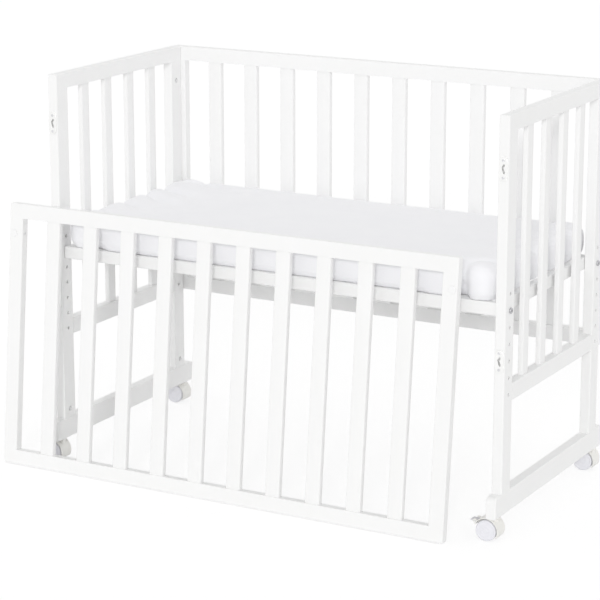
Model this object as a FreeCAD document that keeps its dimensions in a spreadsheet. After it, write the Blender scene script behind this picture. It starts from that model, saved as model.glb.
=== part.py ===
import FreeCAD, Part
import math
import os
import re
import Sketcher
from FreeCAD import Placement, Rotation, Vector

# A bedside sleeper crib in white lacquered wood, shown with its front panel taken off.
# Two end frames stand on sledge feet with twin-wheel casters.  A slatted back panel joins them,
# a height-adjustable base carries the mattress, and the slatted front panel hangs on hook plates,
# or leans against the left post as it does here.
# Millimetres.  X runs along the crib, Y from the open front to the back, Z up from the floor.

os.makedirs("parts", exist_ok=True)
doc = FreeCAD.newDocument("bedside_crib")

# ---------------------------------------------------------------------------
# Driving dimensions: name, value, what it measures
# ---------------------------------------------------------------------------
SIZES = [
    ("outer_length", 965, "over the two end frames"),
    ("frame_depth", 450, "from the front of the front legs to the back of the rear legs"),
    ("frame_top", 775, "floor to the top of the end rails and the back panel"),
    ("post_thick", 20, "legs, end rails and feet, along X"),
    ("post_depth", 37, "legs, along Y"),
    ("edge_round", 2, "rounding along the edges of the boards"),
    ("top_rail_high", 29, "top rail of an end frame"),
    ("low_rail_high", 32, "bottom rail of an end frame"),
    ("low_rail_bottom", 255, "floor to the underside of the end frame's bottom rail"),
    ("end_slat_wide", 25, "end frame slat, along Y"),
    ("end_slat_thick", 10, "end frame slat, along X"),
    ("end_slat_count", 4, "slats in an end frame"),
    ("tenon_long", 8, "length of slat held in each rail"),
    ("joint_gap", 0.1, "play of a tenon, a dowel or a bolt in its hole, each side"),
    ("foot_bottom", 47, "floor to the underside of the sledge foot"),
    ("foot_high", 41, "sledge foot"),
    ("foot_ahead", 25, "sledge foot in front of the front leg"),
    ("foot_behind", 18, "sledge foot behind the back panel"),
    ("foot_corner", 12, "rounding of the foot's upper corners"),
    ("panel_thick", 18, "rails and stiles of the back and front panels"),
    ("panel_high", 520, "back and front panels"),
    ("panel_rail_high", 29, "top and bottom rails of a panel"),
    ("panel_corner", 4, "rounding of a panel's outer corners"),
    ("stile_wide", 30, "upright at each end of a panel"),
    ("slat_wide", 30, "panel slat, along X"),
    ("slat_thick", 12, "panel slat, along Y"),
    ("slat_count", 10, "slats in a panel"),
    ("panel_shift", 83, "front panel left of the crib's end, as it leans"),
    ("panel_lean", 5.6, "degrees that the leaning panel tips back"),
    ("lean_gap", 0.4, "between the leaning panel and the left leg"),
    ("base_top", 437, "floor to the top of the mattress base"),
    ("base_rail_high", 24, "rails of the mattress base"),
    ("base_rail_thick", 16, "rails of the mattress base"),
    ("base_slat_wide", 60, "base slat, along X"),
    ("base_slat_thick", 10, "base slat"),
    ("base_slat_count", 8, "slats in the base"),
    ("base_gap", 0.5, "between the base and the legs"),
    ("hole_inset", 20, "height holes behind the leg's outer face"),
    ("hole_radius", 3.5, "height holes"),
    ("hole_pitch", 31, "from one height hole to the next"),
    ("hole_count", 7, "height holes in a leg"),
    ("holes_above", 1, "height holes above the one in use"),
    ("dowel_radius", 4, "wooden dowels"),
    ("dowel_long", 24, "wooden dowels, half in each piece"),
    ("bolt_radius", 3, "furniture bolts"),
    ("bolt_head_radius", 5.5, "furniture bolts"),
    ("bolt_head_high", 3, "furniture bolts"),
    ("socket_radius", 2.5, "hexagon socket of the furniture bolts, to its corners"),
    ("socket_deep", 2, "hexagon socket of the furniture bolts"),
    ("nut_radius", 5, "barrel nuts"),
    ("nut_long", 12, "barrel nuts"),
    ("nut_inset", 28, "barrel nut from the end of its rail"),
    ("foot_nut_rise", 17, "barrel nut above the foot"),
    ("foot_bolt_sink", 6, "counterbore under the foot"),
    ("panel_bolt_top", 69, "upper back panel bolts below the panel's top"),
    ("panel_bolt_low", 61, "lower back panel bolts above the panel's lower edge"),
    ("panel_bolt_grip", 24, "back panel bolts in the leg"),
    ("plate_wide", 17, "hook plate"),
    ("plate_high", 42, "hook plate"),
    ("plate_thick", 2.5, "hook plate"),
    ("plate_upper", 94, "middle of the upper hook plates below the top of the end rails"),
    ("plate_lower", 346, "middle of the lower hook plates below that of the upper ones"),
    ("plate_screw_out", 15.3, "plate screws above and below the plate's middle"),
    ("slot_radius", 1.8, "half the width of the hook slot"),
    ("slot_reach", 6.5, "hook slot above and below the plate's middle"),
    ("slot_lean", 1.3, "hook slot's sideways run from the middle"),
    ("slot_bend", 2, "hook slot's bend above the plate's middle"),
    ("recess_deep", 6, "hollow behind the hook slot"),
    ("recess_wide", 8, "hollow behind the hook slot"),
    ("recess_corner", 3.5, "hollow behind the hook slot"),
    ("screw_radius", 1.5, "small wood screws"),
    ("screw_long", 13, "small wood screws"),
    ("screw_head_radius", 2.6, "small wood screws"),
    ("screw_head_high", 1.2, "small wood screws"),
    ("pin_drop", 59, "upper hook pins below the panel's top"),
    ("pin_radius", 1.6, "neck of a hook pin"),
    ("pin_head_radius", 3.2, "hook pin's head and shank"),
    ("pin_out", 5, "hook pin behind the panel"),
    ("pin_blind", 12, "lower hook pin let into the panel from behind"),
    ("pin_head_thick", 1.5, "hook pin's head"),
    ("cap_radius", 7.5, "cap over an upper hook pin"),
    ("cap_thick", 1.2, "straight edge of a cap over an upper hook pin"),
    ("cap_bevel", 0.9, "bevelled front of a cap over an upper hook pin"),
    ("lock_radius", 2.2, "grub screw that locks an upper hook pin"),
    ("lock_long", 10, "grub screw that locks an upper hook pin"),
    ("mattress_thick", 63, "mattress at its crown"),
    ("mattress_gap", 1.5, "between the mattress and the legs, slats and back"),
    ("mattress_front", 6, "mattress behind the front of the legs"),
    ("mattress_corner", 26, "rounding of the mattress seen from above"),
    ("mattress_draw", 4, "how far the mattress's sides pull in between its corners"),
    ("seat_gap", 0.3, "between the mattress and the base"),
    ("wheel_radius", 20, "caster wheel"),
    ("wheel_wide", 11, "caster wheel"),
    ("wheel_edge", 2.5, "rounding of a wheel's tread"),
    ("wheel_dish", 1.5, "hollow in a wheel's outer face"),
    ("dish_radius", 15, "hollow in a wheel's outer face"),
    ("web_thick", 10, "caster housing between its wheels"),
    ("wheel_gap", 0.5, "between a wheel and the housing beside it"),
    ("hood_gap", 2.4, "between a wheel's tread and the hood"),
    ("hood_thick", 1.8, "hood's wall"),
    ("hood_tilt", 26, "degrees that the hood's lower edge tips down towards the stem"),
    ("hood_drop", 1.6, "hood's lower edge below the axle, square to that edge"),
    ("hood_cut", 30, "half the length of the box that opens the hood below, and its height"),
    ("cut_past", 1, "how far a cutting solid runs past the piece that it cuts"),
    ("hub_radius", 9, "housing round the axle"),
    ("axle_radius", 2.5, "caster axle"),
    ("running_gap", 0.05, "between an axle or stem and its bore, each side"),
    ("ear_gap", 0.3, "between the brake lever and the ears beside it"),
    ("collar_gap", 0.3, "between the stem's collar and the caster"),
    ("caster_trail", 14, "wheel centre from the stem"),
    ("caster_end", 27, "stem from the end of the foot"),
    ("stem_radius", 4, "caster stem"),
    ("stem_up", 30, "caster stem in the foot"),
    ("stem_down", 16, "caster stem in the housing"),
    ("collar_radius", 8, "collar of the stem, under the foot"),
    ("collar_thick", 1.5, "collar of the stem, under the foot"),
    ("boss_radius", 8, "housing round the stem"),
    ("column_lap", 1, "housing's upright into the part round the stem"),
    ("brake_angle", 150, "degrees from the stem's side over the axle to the brake pin"),
    ("brake_out", 3, "brake pin outside the hood"),
    ("brake_pin_radius", 1.5, "brake pin"),
    ("ear_radius", 4, "ears that hold the brake pin"),
    ("ear_thick", 3, "ears that hold the brake pin"),
    ("lever_hub_radius", 2.6, "brake lever round its pin"),
    ("lever_hub_wide", 15.4, "brake lever between the ears"),
    ("lever_long", 10, "brake lever from its pin"),
    ("lever_wide", 16, "brake lever's pedal"),
    ("lever_neck", 4, "brake lever's narrow part"),
    ("lever_thick", 2.6, "brake lever"),
]

sheet = doc.addObject("Spreadsheet::Sheet", "sizes")
for row, (alias, number, meaning) in enumerate(SIZES, start=1):
    sheet.set(f"A{row}", meaning)
    sheet.set(f"B{row}", str(number))
    sheet.setAlias(f"B{row}", alias)
doc.recompute()
ALIASES = {alias for alias, number, meaning in SIZES}

# Places that several pieces share, written once from the sizes above.
FOOT_TOP = "(foot_bottom + foot_high)"
LEG_TOP = "(frame_top - top_rail_high)"
BOLT_Z = "(base_top - base_rail_high / 2)"
LOWEST_HOLE = f"({BOLT_Z} - (hole_count - 1 - holes_above) * hole_pitch)"
UPPER_PLATE = "(frame_top - plate_upper)"
LOWER_PLATE = f"({UPPER_PLATE} - plate_lower)"
PANEL_BOTTOM = "(frame_top - panel_high)"
PANEL_BOLT_HEIGHTS = (f"({PANEL_BOTTOM} + panel_bolt_low)", "(frame_top - panel_bolt_top)")
PANEL_GAP = "((outer_length - 2 * stile_wide - slat_count * slat_wide) / (slat_count + 1))"
END_GAP = "((frame_depth - 2 * post_depth - end_slat_count * end_slat_wide) / (end_slat_count + 1))"
LEFT_X = "(-outer_length / 2)"
RIGHT_X = "(outer_length / 2 - post_thick)"
REAR_LEG_Y = "(frame_depth - post_depth)"
FOOT_LONG = "(foot_ahead + frame_depth + panel_thick + foot_behind)"
INNER_LONG = "(outer_length - 2 * post_thick - 2 * base_gap)"
BASE_FRONT_Y = "(hole_inset - base_rail_thick / 2)"
BASE_BACK_Y = "(frame_depth - hole_inset - base_rail_thick / 2)"
LEAN_FRONT_Y = (
    "(-lean_gap - panel_thick * cos(panel_lean) - panel_high * sin(panel_lean))"
)
# The frame's origin is the middle of the whole, leaning panel and bolt heads included.
ORIGIN_X = "((bolt_head_high - panel_shift) / 2)"
ORIGIN_Y = f"(({LEAN_FRONT_Y} + frame_depth + panel_thick + foot_behind) / 2)"


def bound(text):
    """An expression with each size's name turned into its cell in the sheet."""
    return re.sub(r"[a-z_]+", lambda m: "sizes." + m[0] if m[0] in ALIASES else m[0], str(text))


def bind(thing, name, text):
    thing.setExpression(name, bound(text))


def place(thing, x="0", y="0", z="0", turn=None):
    """Put a piece at a place given in the crib's own axes, floor level at 0."""
    thing.Placement = Placement(Vector(), turn or Rotation())
    bind(thing, "Placement.Base.x", f"({x}) - {ORIGIN_X}")
    bind(thing, "Placement.Base.y", f"({y}) - {ORIGIN_Y}")
    bind(thing, "Placement.Base.z", z)


def place_back_panel(thing):
    place(thing, LEFT_X, "frame_depth", PANEL_BOTTOM)


def place_front_panel(thing):
    """Tip the panel back on its lower rear edge until its top meets the left leg."""
    place(thing, f"{LEFT_X} - panel_shift", LEAN_FRONT_Y, "panel_thick * sin(panel_lean)",
          Rotation(Vector(-1, 0, 0), 1))
    bind(thing, "Placement.Rotation.Angle", "panel_lean")


# ---------------------------------------------------------------------------
# Ways of making a piece
# ---------------------------------------------------------------------------
# how a cylinder is turned so that its axis points each way
TURNS = {
    "+x": Rotation(Vector(0, 1, 0), 90),
    "-x": Rotation(Vector(0, 1, 0), -90),
    "+y": Rotation(Vector(1, 0, 0), -90),
    "-y": Rotation(Vector(1, 0, 0), 90),
    "+z": Rotation(),
}


def new_body(name):
    body = doc.addObject("PartDesign::Body", name)
    body.Label = name
    return body


def new_sketch(body, role, offset="0"):
    """A sketch on one of the body's origin planes, moved along its normal by offset."""
    sketch = body.newObject("Sketcher::SketchObject", body.Name + "_sketch")
    plane = [feature for feature in body.Origin.OriginFeatures if feature.Role == role][0]
    sketch.AttachmentSupport = [(plane, "")]
    sketch.MapMode = "FlatFace"
    bind(sketch, "AttachmentOffset.Base.z", offset)
    return sketch


def measure(sketch, kind, *where):
    """Add one dimension to a sketch and bind it to its expression, the last argument."""
    *elements, text = where
    index = sketch.addConstraint(Sketcher.Constraint(kind, *elements))
    bind(sketch, f"Constraints[{index}]", text)


def draw_rectangle(sketch, left, bottom, width, height, radius=None):
    """A rectangle, with round corners if a radius is given.  All sizes are expressions."""
    wide, high, corner = 60.0, 40.0, 5.0 if radius else 0.0
    low, far, top = Vector(corner, 0, 0), Vector(wide - corner, 0, 0), Vector(wide, high - corner, 0)
    points = [low, far, Vector(wide, corner, 0), top, Vector(wide - corner, high, 0),
              Vector(corner, high, 0), Vector(0, high - corner, 0), Vector(0, corner, 0)]
    for side in range(4):
        sketch.addGeometry(Part.LineSegment(points[2 * side], points[2 * side + 1]))
    for side in (0, 2):
        sketch.addConstraint(Sketcher.Constraint("Horizontal", side))
    for side in (1, 3):
        sketch.addConstraint(Sketcher.Constraint("Vertical", side))
    if radius:
        centres = [(wide - corner, corner, -90), (wide - corner, high - corner, 0),
                   (corner, high - corner, 90), (corner, corner, 180)]
        for side, (x, y, start) in enumerate(centres):
            circle = Part.Circle(Vector(x, y, 0), Vector(0, 0, 1), corner)
            bend = Part.ArcOfCircle(circle, math.radians(start), math.radians(start + 90))
            arc = sketch.addGeometry(bend)
            sketch.addConstraint(Sketcher.Constraint("Tangent", side, 2, arc, 1))
            sketch.addConstraint(Sketcher.Constraint("Tangent", arc, 2, (side + 1) % 4, 1))
            if side:
                sketch.addConstraint(Sketcher.Constraint("Equal", 4, arc))
        measure(sketch, "Radius", 4, corner, radius)
    else:
        for side in range(4):
            sketch.addConstraint(Sketcher.Constraint("Coincident", side, 2, (side + 1) % 4, 1))
    measure(sketch, "DistanceX", 3, 1, 1, 1, wide, width)
    measure(sketch, "DistanceY", 0, 1, 2, 1, high, height)
    measure(sketch, "DistanceX", -1, 1, 3, 1, 0.0, left)
    measure(sketch, "DistanceY", -1, 1, 0, 1, 0.0, bottom)


def draw_circle(sketch, x, y, radius):
    sketch.addGeometry(Part.Circle(Vector(1, 1, 0), Vector(0, 0, 1), 1))
    measure(sketch, "Radius", 0, 1.0, radius)
    measure(sketch, "DistanceX", -1, 1, 0, 3, 1.0, x)
    measure(sketch, "DistanceY", -1, 1, 0, 3, 1.0, y)


def pad(body, sketch, length, reverse=False):
    feature = body.newObject("PartDesign::Pad", body.Name + "_pad")
    feature.Profile = sketch
    bind(feature, "Length", length)
    feature.Reversed = reverse
    body.Tip = feature
    doc.recompute()
    return feature


def pocket(body, sketch, depth, reverse=False):
    """Cut to a depth, and make sure that the cut takes wood away."""
    before = body.Shape.Volume
    feature = body.newObject("PartDesign::Pocket", body.Name + "_pocket")
    feature.Profile = sketch
    bind(feature, "Length", depth)
    feature.Reversed = reverse
    body.Tip = feature
    doc.recompute()
    if body.Shape.Volume > before - 1:
        raise ValueError(f"{body.Name}: a cut misses the wood")
    return feature


def repeat(body, feature, sketch, axis, span, count):
    """Repeat a feature along one axis of its sketch, over a span."""
    pattern = body.newObject("PartDesign::LinearPattern", body.Name + "_row")
    pattern.Originals = [feature]
    pattern.Direction = (sketch, [axis])
    bind(pattern, "Length", span)
    bind(pattern, "Occurrences", count)
    body.Tip = pattern
    doc.recompute()
    return pattern


def bore(body, role, x, y, radius, depth, offset="0", reverse=False):
    """A round hole into the solid from one of the body's planes."""
    sketch = new_sketch(body, role, offset)
    draw_circle(sketch, x, y, radius)
    return pocket(body, sketch, depth, reverse), sketch


def round_edges(body, radius, chosen):
    """Round the edges of the body that the test picks by their ends and middle."""
    source = body.Tip
    names = [f"Edge{number}" for number, edge in enumerate(source.Shape.Edges, start=1) if chosen(edge)]
    feature = body.newObject("PartDesign::Fillet", body.Name + "_round")
    feature.Base = (source, names)
    bind(feature, "Radius", radius)
    body.Tip = feature
    doc.recompute()


def runs_along(edge, axis):
    if not isinstance(edge.Curve, (Part.Line, Part.LineSegment)):
        return False
    return abs(getattr(edge.tangentAt(edge.FirstParameter), axis)) > 0.999


def at(solid, x, y, z):
    for axis, text in zip("xyz", (x, y, z)):
        bind(solid, f"Placement.Base.{axis}", text)
    return solid


def cylinder(name, radius, height, toward="+z", x="0", y="0", z="0"):
    """A cylinder from x, y, z towards one of the axes, as a document object."""
    solid = doc.addObject("Part::Cylinder", name)
    bind(solid, "Radius", radius)
    bind(solid, "Height", height)
    solid.Placement = Placement(Vector(), TURNS[toward])
    return at(solid, x, y, z)


def cone(name, radius, far_radius, height, toward, x, y, z):
    solid = doc.addObject("Part::Cone", name)
    bind(solid, "Radius1", radius)
    bind(solid, "Radius2", far_radius)
    bind(solid, "Height", height)
    solid.Placement = Placement(Vector(), TURNS[toward])
    return at(solid, x, y, z)


def box(name, length, width, height, x, y, z):
    solid = doc.addObject("Part::Box", name)
    for size, text in zip(("Length", "Width", "Height"), (length, width, height)):
        bind(solid, size, text)
    return at(solid, x, y, z)


def fuse(name, pieces):
    solid = doc.addObject("Part::MultiFuse", name)
    solid.Shapes = pieces
    solid.Refine = True
    return solid


def cut(name, base, tools):
    """The base less every tool, one cut after another."""
    for number, tool in enumerate(tools, start=1):
        last = number == len(tools)
        result = doc.addObject("Part::Cut", name if last else f"{name}_cut_{number}")
        result.Base = base
        result.Tool = tool
        base = result
    base.Label = name
    return base


def group(name, pieces):
    """Separate solids that share one node."""
    together = doc.addObject("Part::Compound", name)
    together.Label = name
    together.Links = pieces
    return together


nodes = []


def keep(piece):
    nodes.append(piece)
    return piece


# ---------------------------------------------------------------------------
# End frames: legs, rails and slats
# ---------------------------------------------------------------------------
def build_leg(side, end):
    """A leg with its row of height holes, dowel holes and the holes for its bolts and nuts."""
    body = new_body(f"{side}_{end}_leg")
    section = new_sketch(body, "XY_Plane")
    draw_rectangle(section, "0", "0", "post_thick", "post_depth", "edge_round")
    length = f"{LEG_TOP} - {FOOT_TOP}"
    pad(body, section, length)
    middle_x, middle_y = "post_thick / 2", "post_depth / 2"
    inset = "hole_inset" if end == "front" else "post_depth - hole_inset"

    feature, sketch = bore(body, "YZ_Plane", inset, f"{LOWEST_HOLE} - {FOOT_TOP}", "hole_radius",
                           "post_thick", reverse=True)
    repeat(body, feature, sketch, "V_Axis", "(hole_count - 1) * hole_pitch", "hole_count")

    dowel_hole = "dowel_radius + joint_gap"
    for step in ("-", "+"):
        bore(body, "XY_Plane", middle_x, f"{middle_y} {step} post_depth / 4", dowel_hole,
             "dowel_long / 2", offset=length)
    rail_side = "-post_depth" if end == "front" else "0"
    for step in ("-", "+"):
        height = f"low_rail_bottom + low_rail_high / 2 {step} low_rail_high / 4 - {FOOT_TOP}"
        bore(body, "XZ_Plane", middle_x, height, dowel_hole, "dowel_long / 2",
             offset=rail_side, reverse=end == "front")

    bore(body, "XY_Plane", middle_x, middle_y, "bolt_radius + joint_gap",
         "foot_nut_rise + nut_radius + bolt_radius", reverse=True)

    def nut_bore(height):
        inner_face = "post_thick" if side == "left" else "0"
        bore(body, "YZ_Plane", middle_y, height, "nut_radius + joint_gap",
             "post_thick / 2 + nut_long / 2", offset=inner_face, reverse=side == "right")

    nut_bore("foot_nut_rise")

    if end == "front":
        for height in (UPPER_PLATE, LOWER_PLATE):
            middle = f"{height} - {FOOT_TOP}"
            hollow = new_sketch(body, "XZ_Plane")
            reach = "(slot_reach + slot_radius)"
            draw_rectangle(hollow, f"{middle_x} - recess_wide / 2", f"{middle} - {reach}",
                           "recess_wide", f"2 * {reach}", "recess_corner")
            pocket(body, hollow, "recess_deep")
            for step in ("-", "+"):
                bore(body, "XZ_Plane", middle_x, f"{middle} {step} plate_screw_out",
                     "screw_radius + joint_gap", "screw_long + joint_gap")
    else:
        for height in PANEL_BOLT_HEIGHTS:
            bore(body, "XZ_Plane", middle_x, f"{height} - {FOOT_TOP}", "bolt_radius + joint_gap",
                 "panel_bolt_grip + joint_gap", offset="-post_depth", reverse=True)
            nut_bore(f"{height} - {FOOT_TOP}")

    place(body, LEFT_X if side == "left" else RIGHT_X, "0" if end == "front" else REAR_LEG_Y, FOOT_TOP)
    return keep(body)


def mortises(body, offset, first_y, width, thickness, pitch, count, across, reverse):
    """A row of slat mortises in a rail that runs along Y ("V_Axis") or X ("H_Axis")."""
    sketch = new_sketch(body, "XY_Plane", offset)
    along = (f"{first_y} - joint_gap", f"{width} + 2 * joint_gap")
    beside = (f"{across} - {thickness} / 2 - joint_gap", f"{thickness} + 2 * joint_gap")
    if body.Name.startswith(("left", "right")):
        draw_rectangle(sketch, beside[0], along[0], beside[1], along[1])
        axis = "V_Axis"
    else:
        draw_rectangle(sketch, along[0], beside[0], along[1], beside[1])
        axis = "H_Axis"
    feature = pocket(body, sketch, "tenon_long + joint_gap", reverse)
    repeat(body, feature, sketch, axis, f"({count} - 1) * {pitch}", count)


def build_end(side):
    """One end frame: two legs joined by a top rail laid over them and a bottom rail between them."""
    for end in ("front", "rear"):
        build_leg(side, end)
    left = LEFT_X if side == "left" else RIGHT_X
    middle = "post_thick / 2"
    pitch = f"(end_slat_wide + {END_GAP})"
    dowel_hole = "dowel_radius + joint_gap"

    rail = new_body(f"{side}_top_rail")
    section = new_sketch(rail, "XZ_Plane")
    draw_rectangle(section, "0", "0", "post_thick", "top_rail_high")
    pad(rail, section, "frame_depth", reverse=True)
    round_edges(rail, "edge_round", lambda edge: edge.CenterOfMass.z > 1)
    mortises(rail, "0", f"post_depth + {END_GAP}", "end_slat_wide", "end_slat_thick", pitch,
             "end_slat_count", middle, True)
    for leg_middle in ("post_depth / 2", "frame_depth - post_depth / 2"):
        for step in ("-", "+"):
            bore(rail, "XY_Plane", middle, f"{leg_middle} {step} post_depth / 4", dowel_hole,
                 "dowel_long / 2", reverse=True)
    place(rail, left, "0", LEG_TOP)
    keep(rail)

    rail = new_body(f"{side}_bottom_rail")
    section = new_sketch(rail, "XZ_Plane")
    draw_rectangle(section, "0", "0", "post_thick", "low_rail_high", "edge_round")
    rail_long = "frame_depth - 2 * post_depth"
    pad(rail, section, rail_long, reverse=True)
    mortises(rail, "low_rail_high", END_GAP, "end_slat_wide", "end_slat_thick", pitch,
             "end_slat_count", middle, False)
    for step in ("-", "+"):
        height = f"low_rail_high / 2 {step} low_rail_high / 4"
        bore(rail, "XZ_Plane", middle, height, dowel_hole, "dowel_long / 2")
        bore(rail, "XZ_Plane", middle, height, dowel_hole, "dowel_long / 2",
             offset=f"-({rail_long})", reverse=True)
    place(rail, left, "post_depth", "low_rail_bottom")
    keep(rail)

    slats = new_body(f"{side}_end_slats")
    section = new_sketch(slats, "XY_Plane")
    draw_rectangle(section, "0", "0", "end_slat_thick", "end_slat_wide", "edge_round")
    one = pad(slats, section, f"{LEG_TOP} - low_rail_bottom - low_rail_high + 2 * tenon_long")
    repeat(slats, one, section, "V_Axis", f"(end_slat_count - 1) * {pitch}", "end_slat_count")
    place(slats, f"{left} + post_thick / 2 - end_slat_thick / 2", f"post_depth + {END_GAP}",
          "low_rail_bottom + low_rail_high - tenon_long")
    keep(slats)


for side in ("left", "right"):
    build_end(side)


# ---------------------------------------------------------------------------
# Sledge feet
# ---------------------------------------------------------------------------
def build_foot(side):
    """A beam under the two legs, bored for two leg bolts and two caster stems."""
    foot = new_body(f"{side}_foot")
    section = new_sketch(foot, "YZ_Plane")
    draw_rectangle(section, "0", "0", FOOT_LONG, "foot_high")
    pad(foot, section, "post_thick")
    round_edges(foot, "foot_corner", lambda e: runs_along(e, "x") and e.CenterOfMass.z > 1)
    round_edges(foot, "edge_round", lambda e: not runs_along(e, "x"))
    leg_places = ("foot_ahead + post_depth / 2", "foot_ahead + frame_depth - post_depth / 2")
    for along in leg_places:
        bore(foot, "XY_Plane", "post_thick / 2", along, "bolt_head_radius + joint_gap",
             "foot_bolt_sink", reverse=True)
        bore(foot, "XY_Plane", "post_thick / 2", along, "bolt_radius + joint_gap",
             "foot_high", reverse=True)
    for along in ("caster_end", f"{FOOT_LONG} - caster_end"):
        bore(foot, "XY_Plane", "post_thick / 2", along, "stem_radius + joint_gap",
             "stem_up + joint_gap", reverse=True)
    place(foot, LEFT_X if side == "left" else RIGHT_X, "-foot_ahead", "foot_bottom")
    keep(foot)


for side in ("left", "right"):
    build_foot(side)


# ---------------------------------------------------------------------------
# Back panel and front panel, drawn in the panel's own axes:
# X from its left edge, Y from its front face, Z from its lower edge
# ---------------------------------------------------------------------------
def build_panel(name, put):
    """Top and bottom rails that run the full width over two stiles and ten slats."""
    pitch = f"(slat_wide + {PANEL_GAP})"
    first = f"stile_wide + {PANEL_GAP}"
    middle = "panel_thick / 2"
    dowel_hole = "dowel_radius + joint_gap"
    pin_x = ("post_thick / 2", "outer_length - post_thick / 2")
    upper_pin = "panel_high - pin_drop"
    lower_pin = f"{upper_pin} - plate_lower"

    for level in ("top", "bottom"):
        rail = new_body(f"{name}_{level}_rail")
        base = "panel_high - panel_rail_high" if level == "top" else "0"
        section = new_sketch(rail, "XZ_Plane")
        draw_rectangle(section, "0", base, "outer_length", "panel_rail_high")
        pad(rail, section, "panel_thick", reverse=True)
        inner = rail.Shape.BoundBox.ZMin if level == "top" else rail.Shape.BoundBox.ZMax
        round_edges(rail, "panel_corner",
                    lambda e: runs_along(e, "y") and abs(e.CenterOfMass.z - inner) > 1)
        round_edges(rail, "edge_round", lambda e: not runs_along(e, "y")
                    and abs(e.CenterOfMass.z - inner) > 1 and abs(e.tangentAt(e.FirstParameter).y) < 0.5)
        joint = base if level == "top" else "panel_rail_high"
        mortises(rail, joint, first, "slat_wide", "slat_thick", pitch, "slat_count", middle,
                 level == "top")
        for x in ("stile_wide / 2", "outer_length - stile_wide / 2"):
            bore(rail, "XY_Plane", x, middle, dowel_hole, "dowel_long / 2", offset=joint,
                 reverse=level == "top")
        put(rail)
        keep(rail)

    for side, left in (("left", "0"), ("right", "outer_length - stile_wide")):
        stile = new_body(f"{name}_{side}_stile")
        section = new_sketch(stile, "XY_Plane", "panel_rail_high")
        draw_rectangle(section, left, "0", "stile_wide", "panel_thick", "edge_round")
        pad(stile, section, "panel_high - 2 * panel_rail_high")
        x = f"{left} + stile_wide / 2"
        bore(stile, "XY_Plane", x, middle, dowel_hole, "dowel_long / 2",
             offset="panel_rail_high", reverse=True)
        bore(stile, "XY_Plane", x, middle, dowel_hole, "dowel_long / 2",
             offset="panel_high - panel_rail_high")
        fixing_x = pin_x[0] if side == "left" else pin_x[1]
        if name == "back_panel":
            for height in ("panel_bolt_low", "panel_high - panel_bolt_top"):
                bore(stile, "XZ_Plane", fixing_x, height, "bolt_radius + joint_gap", "panel_thick")
        else:
            bore(stile, "XZ_Plane", fixing_x, upper_pin, "pin_head_radius + joint_gap", "panel_thick")
            bore(stile, "XZ_Plane", fixing_x, lower_pin, "pin_head_radius + joint_gap",
                 "pin_blind + joint_gap", offset="-panel_thick", reverse=True)
            inner_edge = "stile_wide" if side == "left" else "outer_length - stile_wide"
            bore(stile, "YZ_Plane", middle, upper_pin, "lock_radius + joint_gap",
                 "stile_wide - post_thick / 2", offset=inner_edge, reverse=side == "right")
        put(stile)
        keep(stile)

    slats = new_body(f"{name}_slats")
    section = new_sketch(slats, "XY_Plane", "panel_rail_high - tenon_long")
    draw_rectangle(section, first, f"{middle} - slat_thick / 2", "slat_wide", "slat_thick", "edge_round")
    one = pad(slats, section, "panel_high - 2 * panel_rail_high + 2 * tenon_long")
    repeat(slats, one, section, "H_Axis", f"(slat_count - 1) * {pitch}", "slat_count")
    put(slats)
    keep(slats)


def panel_dowels(left, middle, bottom):
    """The four dowels of a panel whose left edge, middle plane and lower edge are given."""
    return [cylinder("panel_dowel", "dowel_radius", "dowel_long", "+z", f"{left} + {x}", middle,
                     f"{bottom} + {z} - dowel_long / 2")
            for x in ("stile_wide / 2", "outer_length - stile_wide / 2")
            for z in ("panel_rail_high", "panel_high - panel_rail_high")]


build_panel("back_panel", place_back_panel)
build_panel("front_panel", place_front_panel)
front_dowels = group("front_panel_dowels", panel_dowels("0", "panel_thick / 2", "0"))
place_front_panel(front_dowels)
keep(front_dowels)


# ---------------------------------------------------------------------------
# Mattress base: two long rails between the legs, two cross rails and slats let in flush
# ---------------------------------------------------------------------------
BASE_X = f"({LEFT_X} + post_thick + base_gap)"
CROSS_LONG = f"({BASE_BACK_Y} - {BASE_FRONT_Y} - base_rail_thick)"
BASE_SLAT_GAP = (
    f"(({INNER_LONG} - 2 * base_rail_thick - base_slat_count * base_slat_wide) / (base_slat_count + 1))"
)


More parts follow.
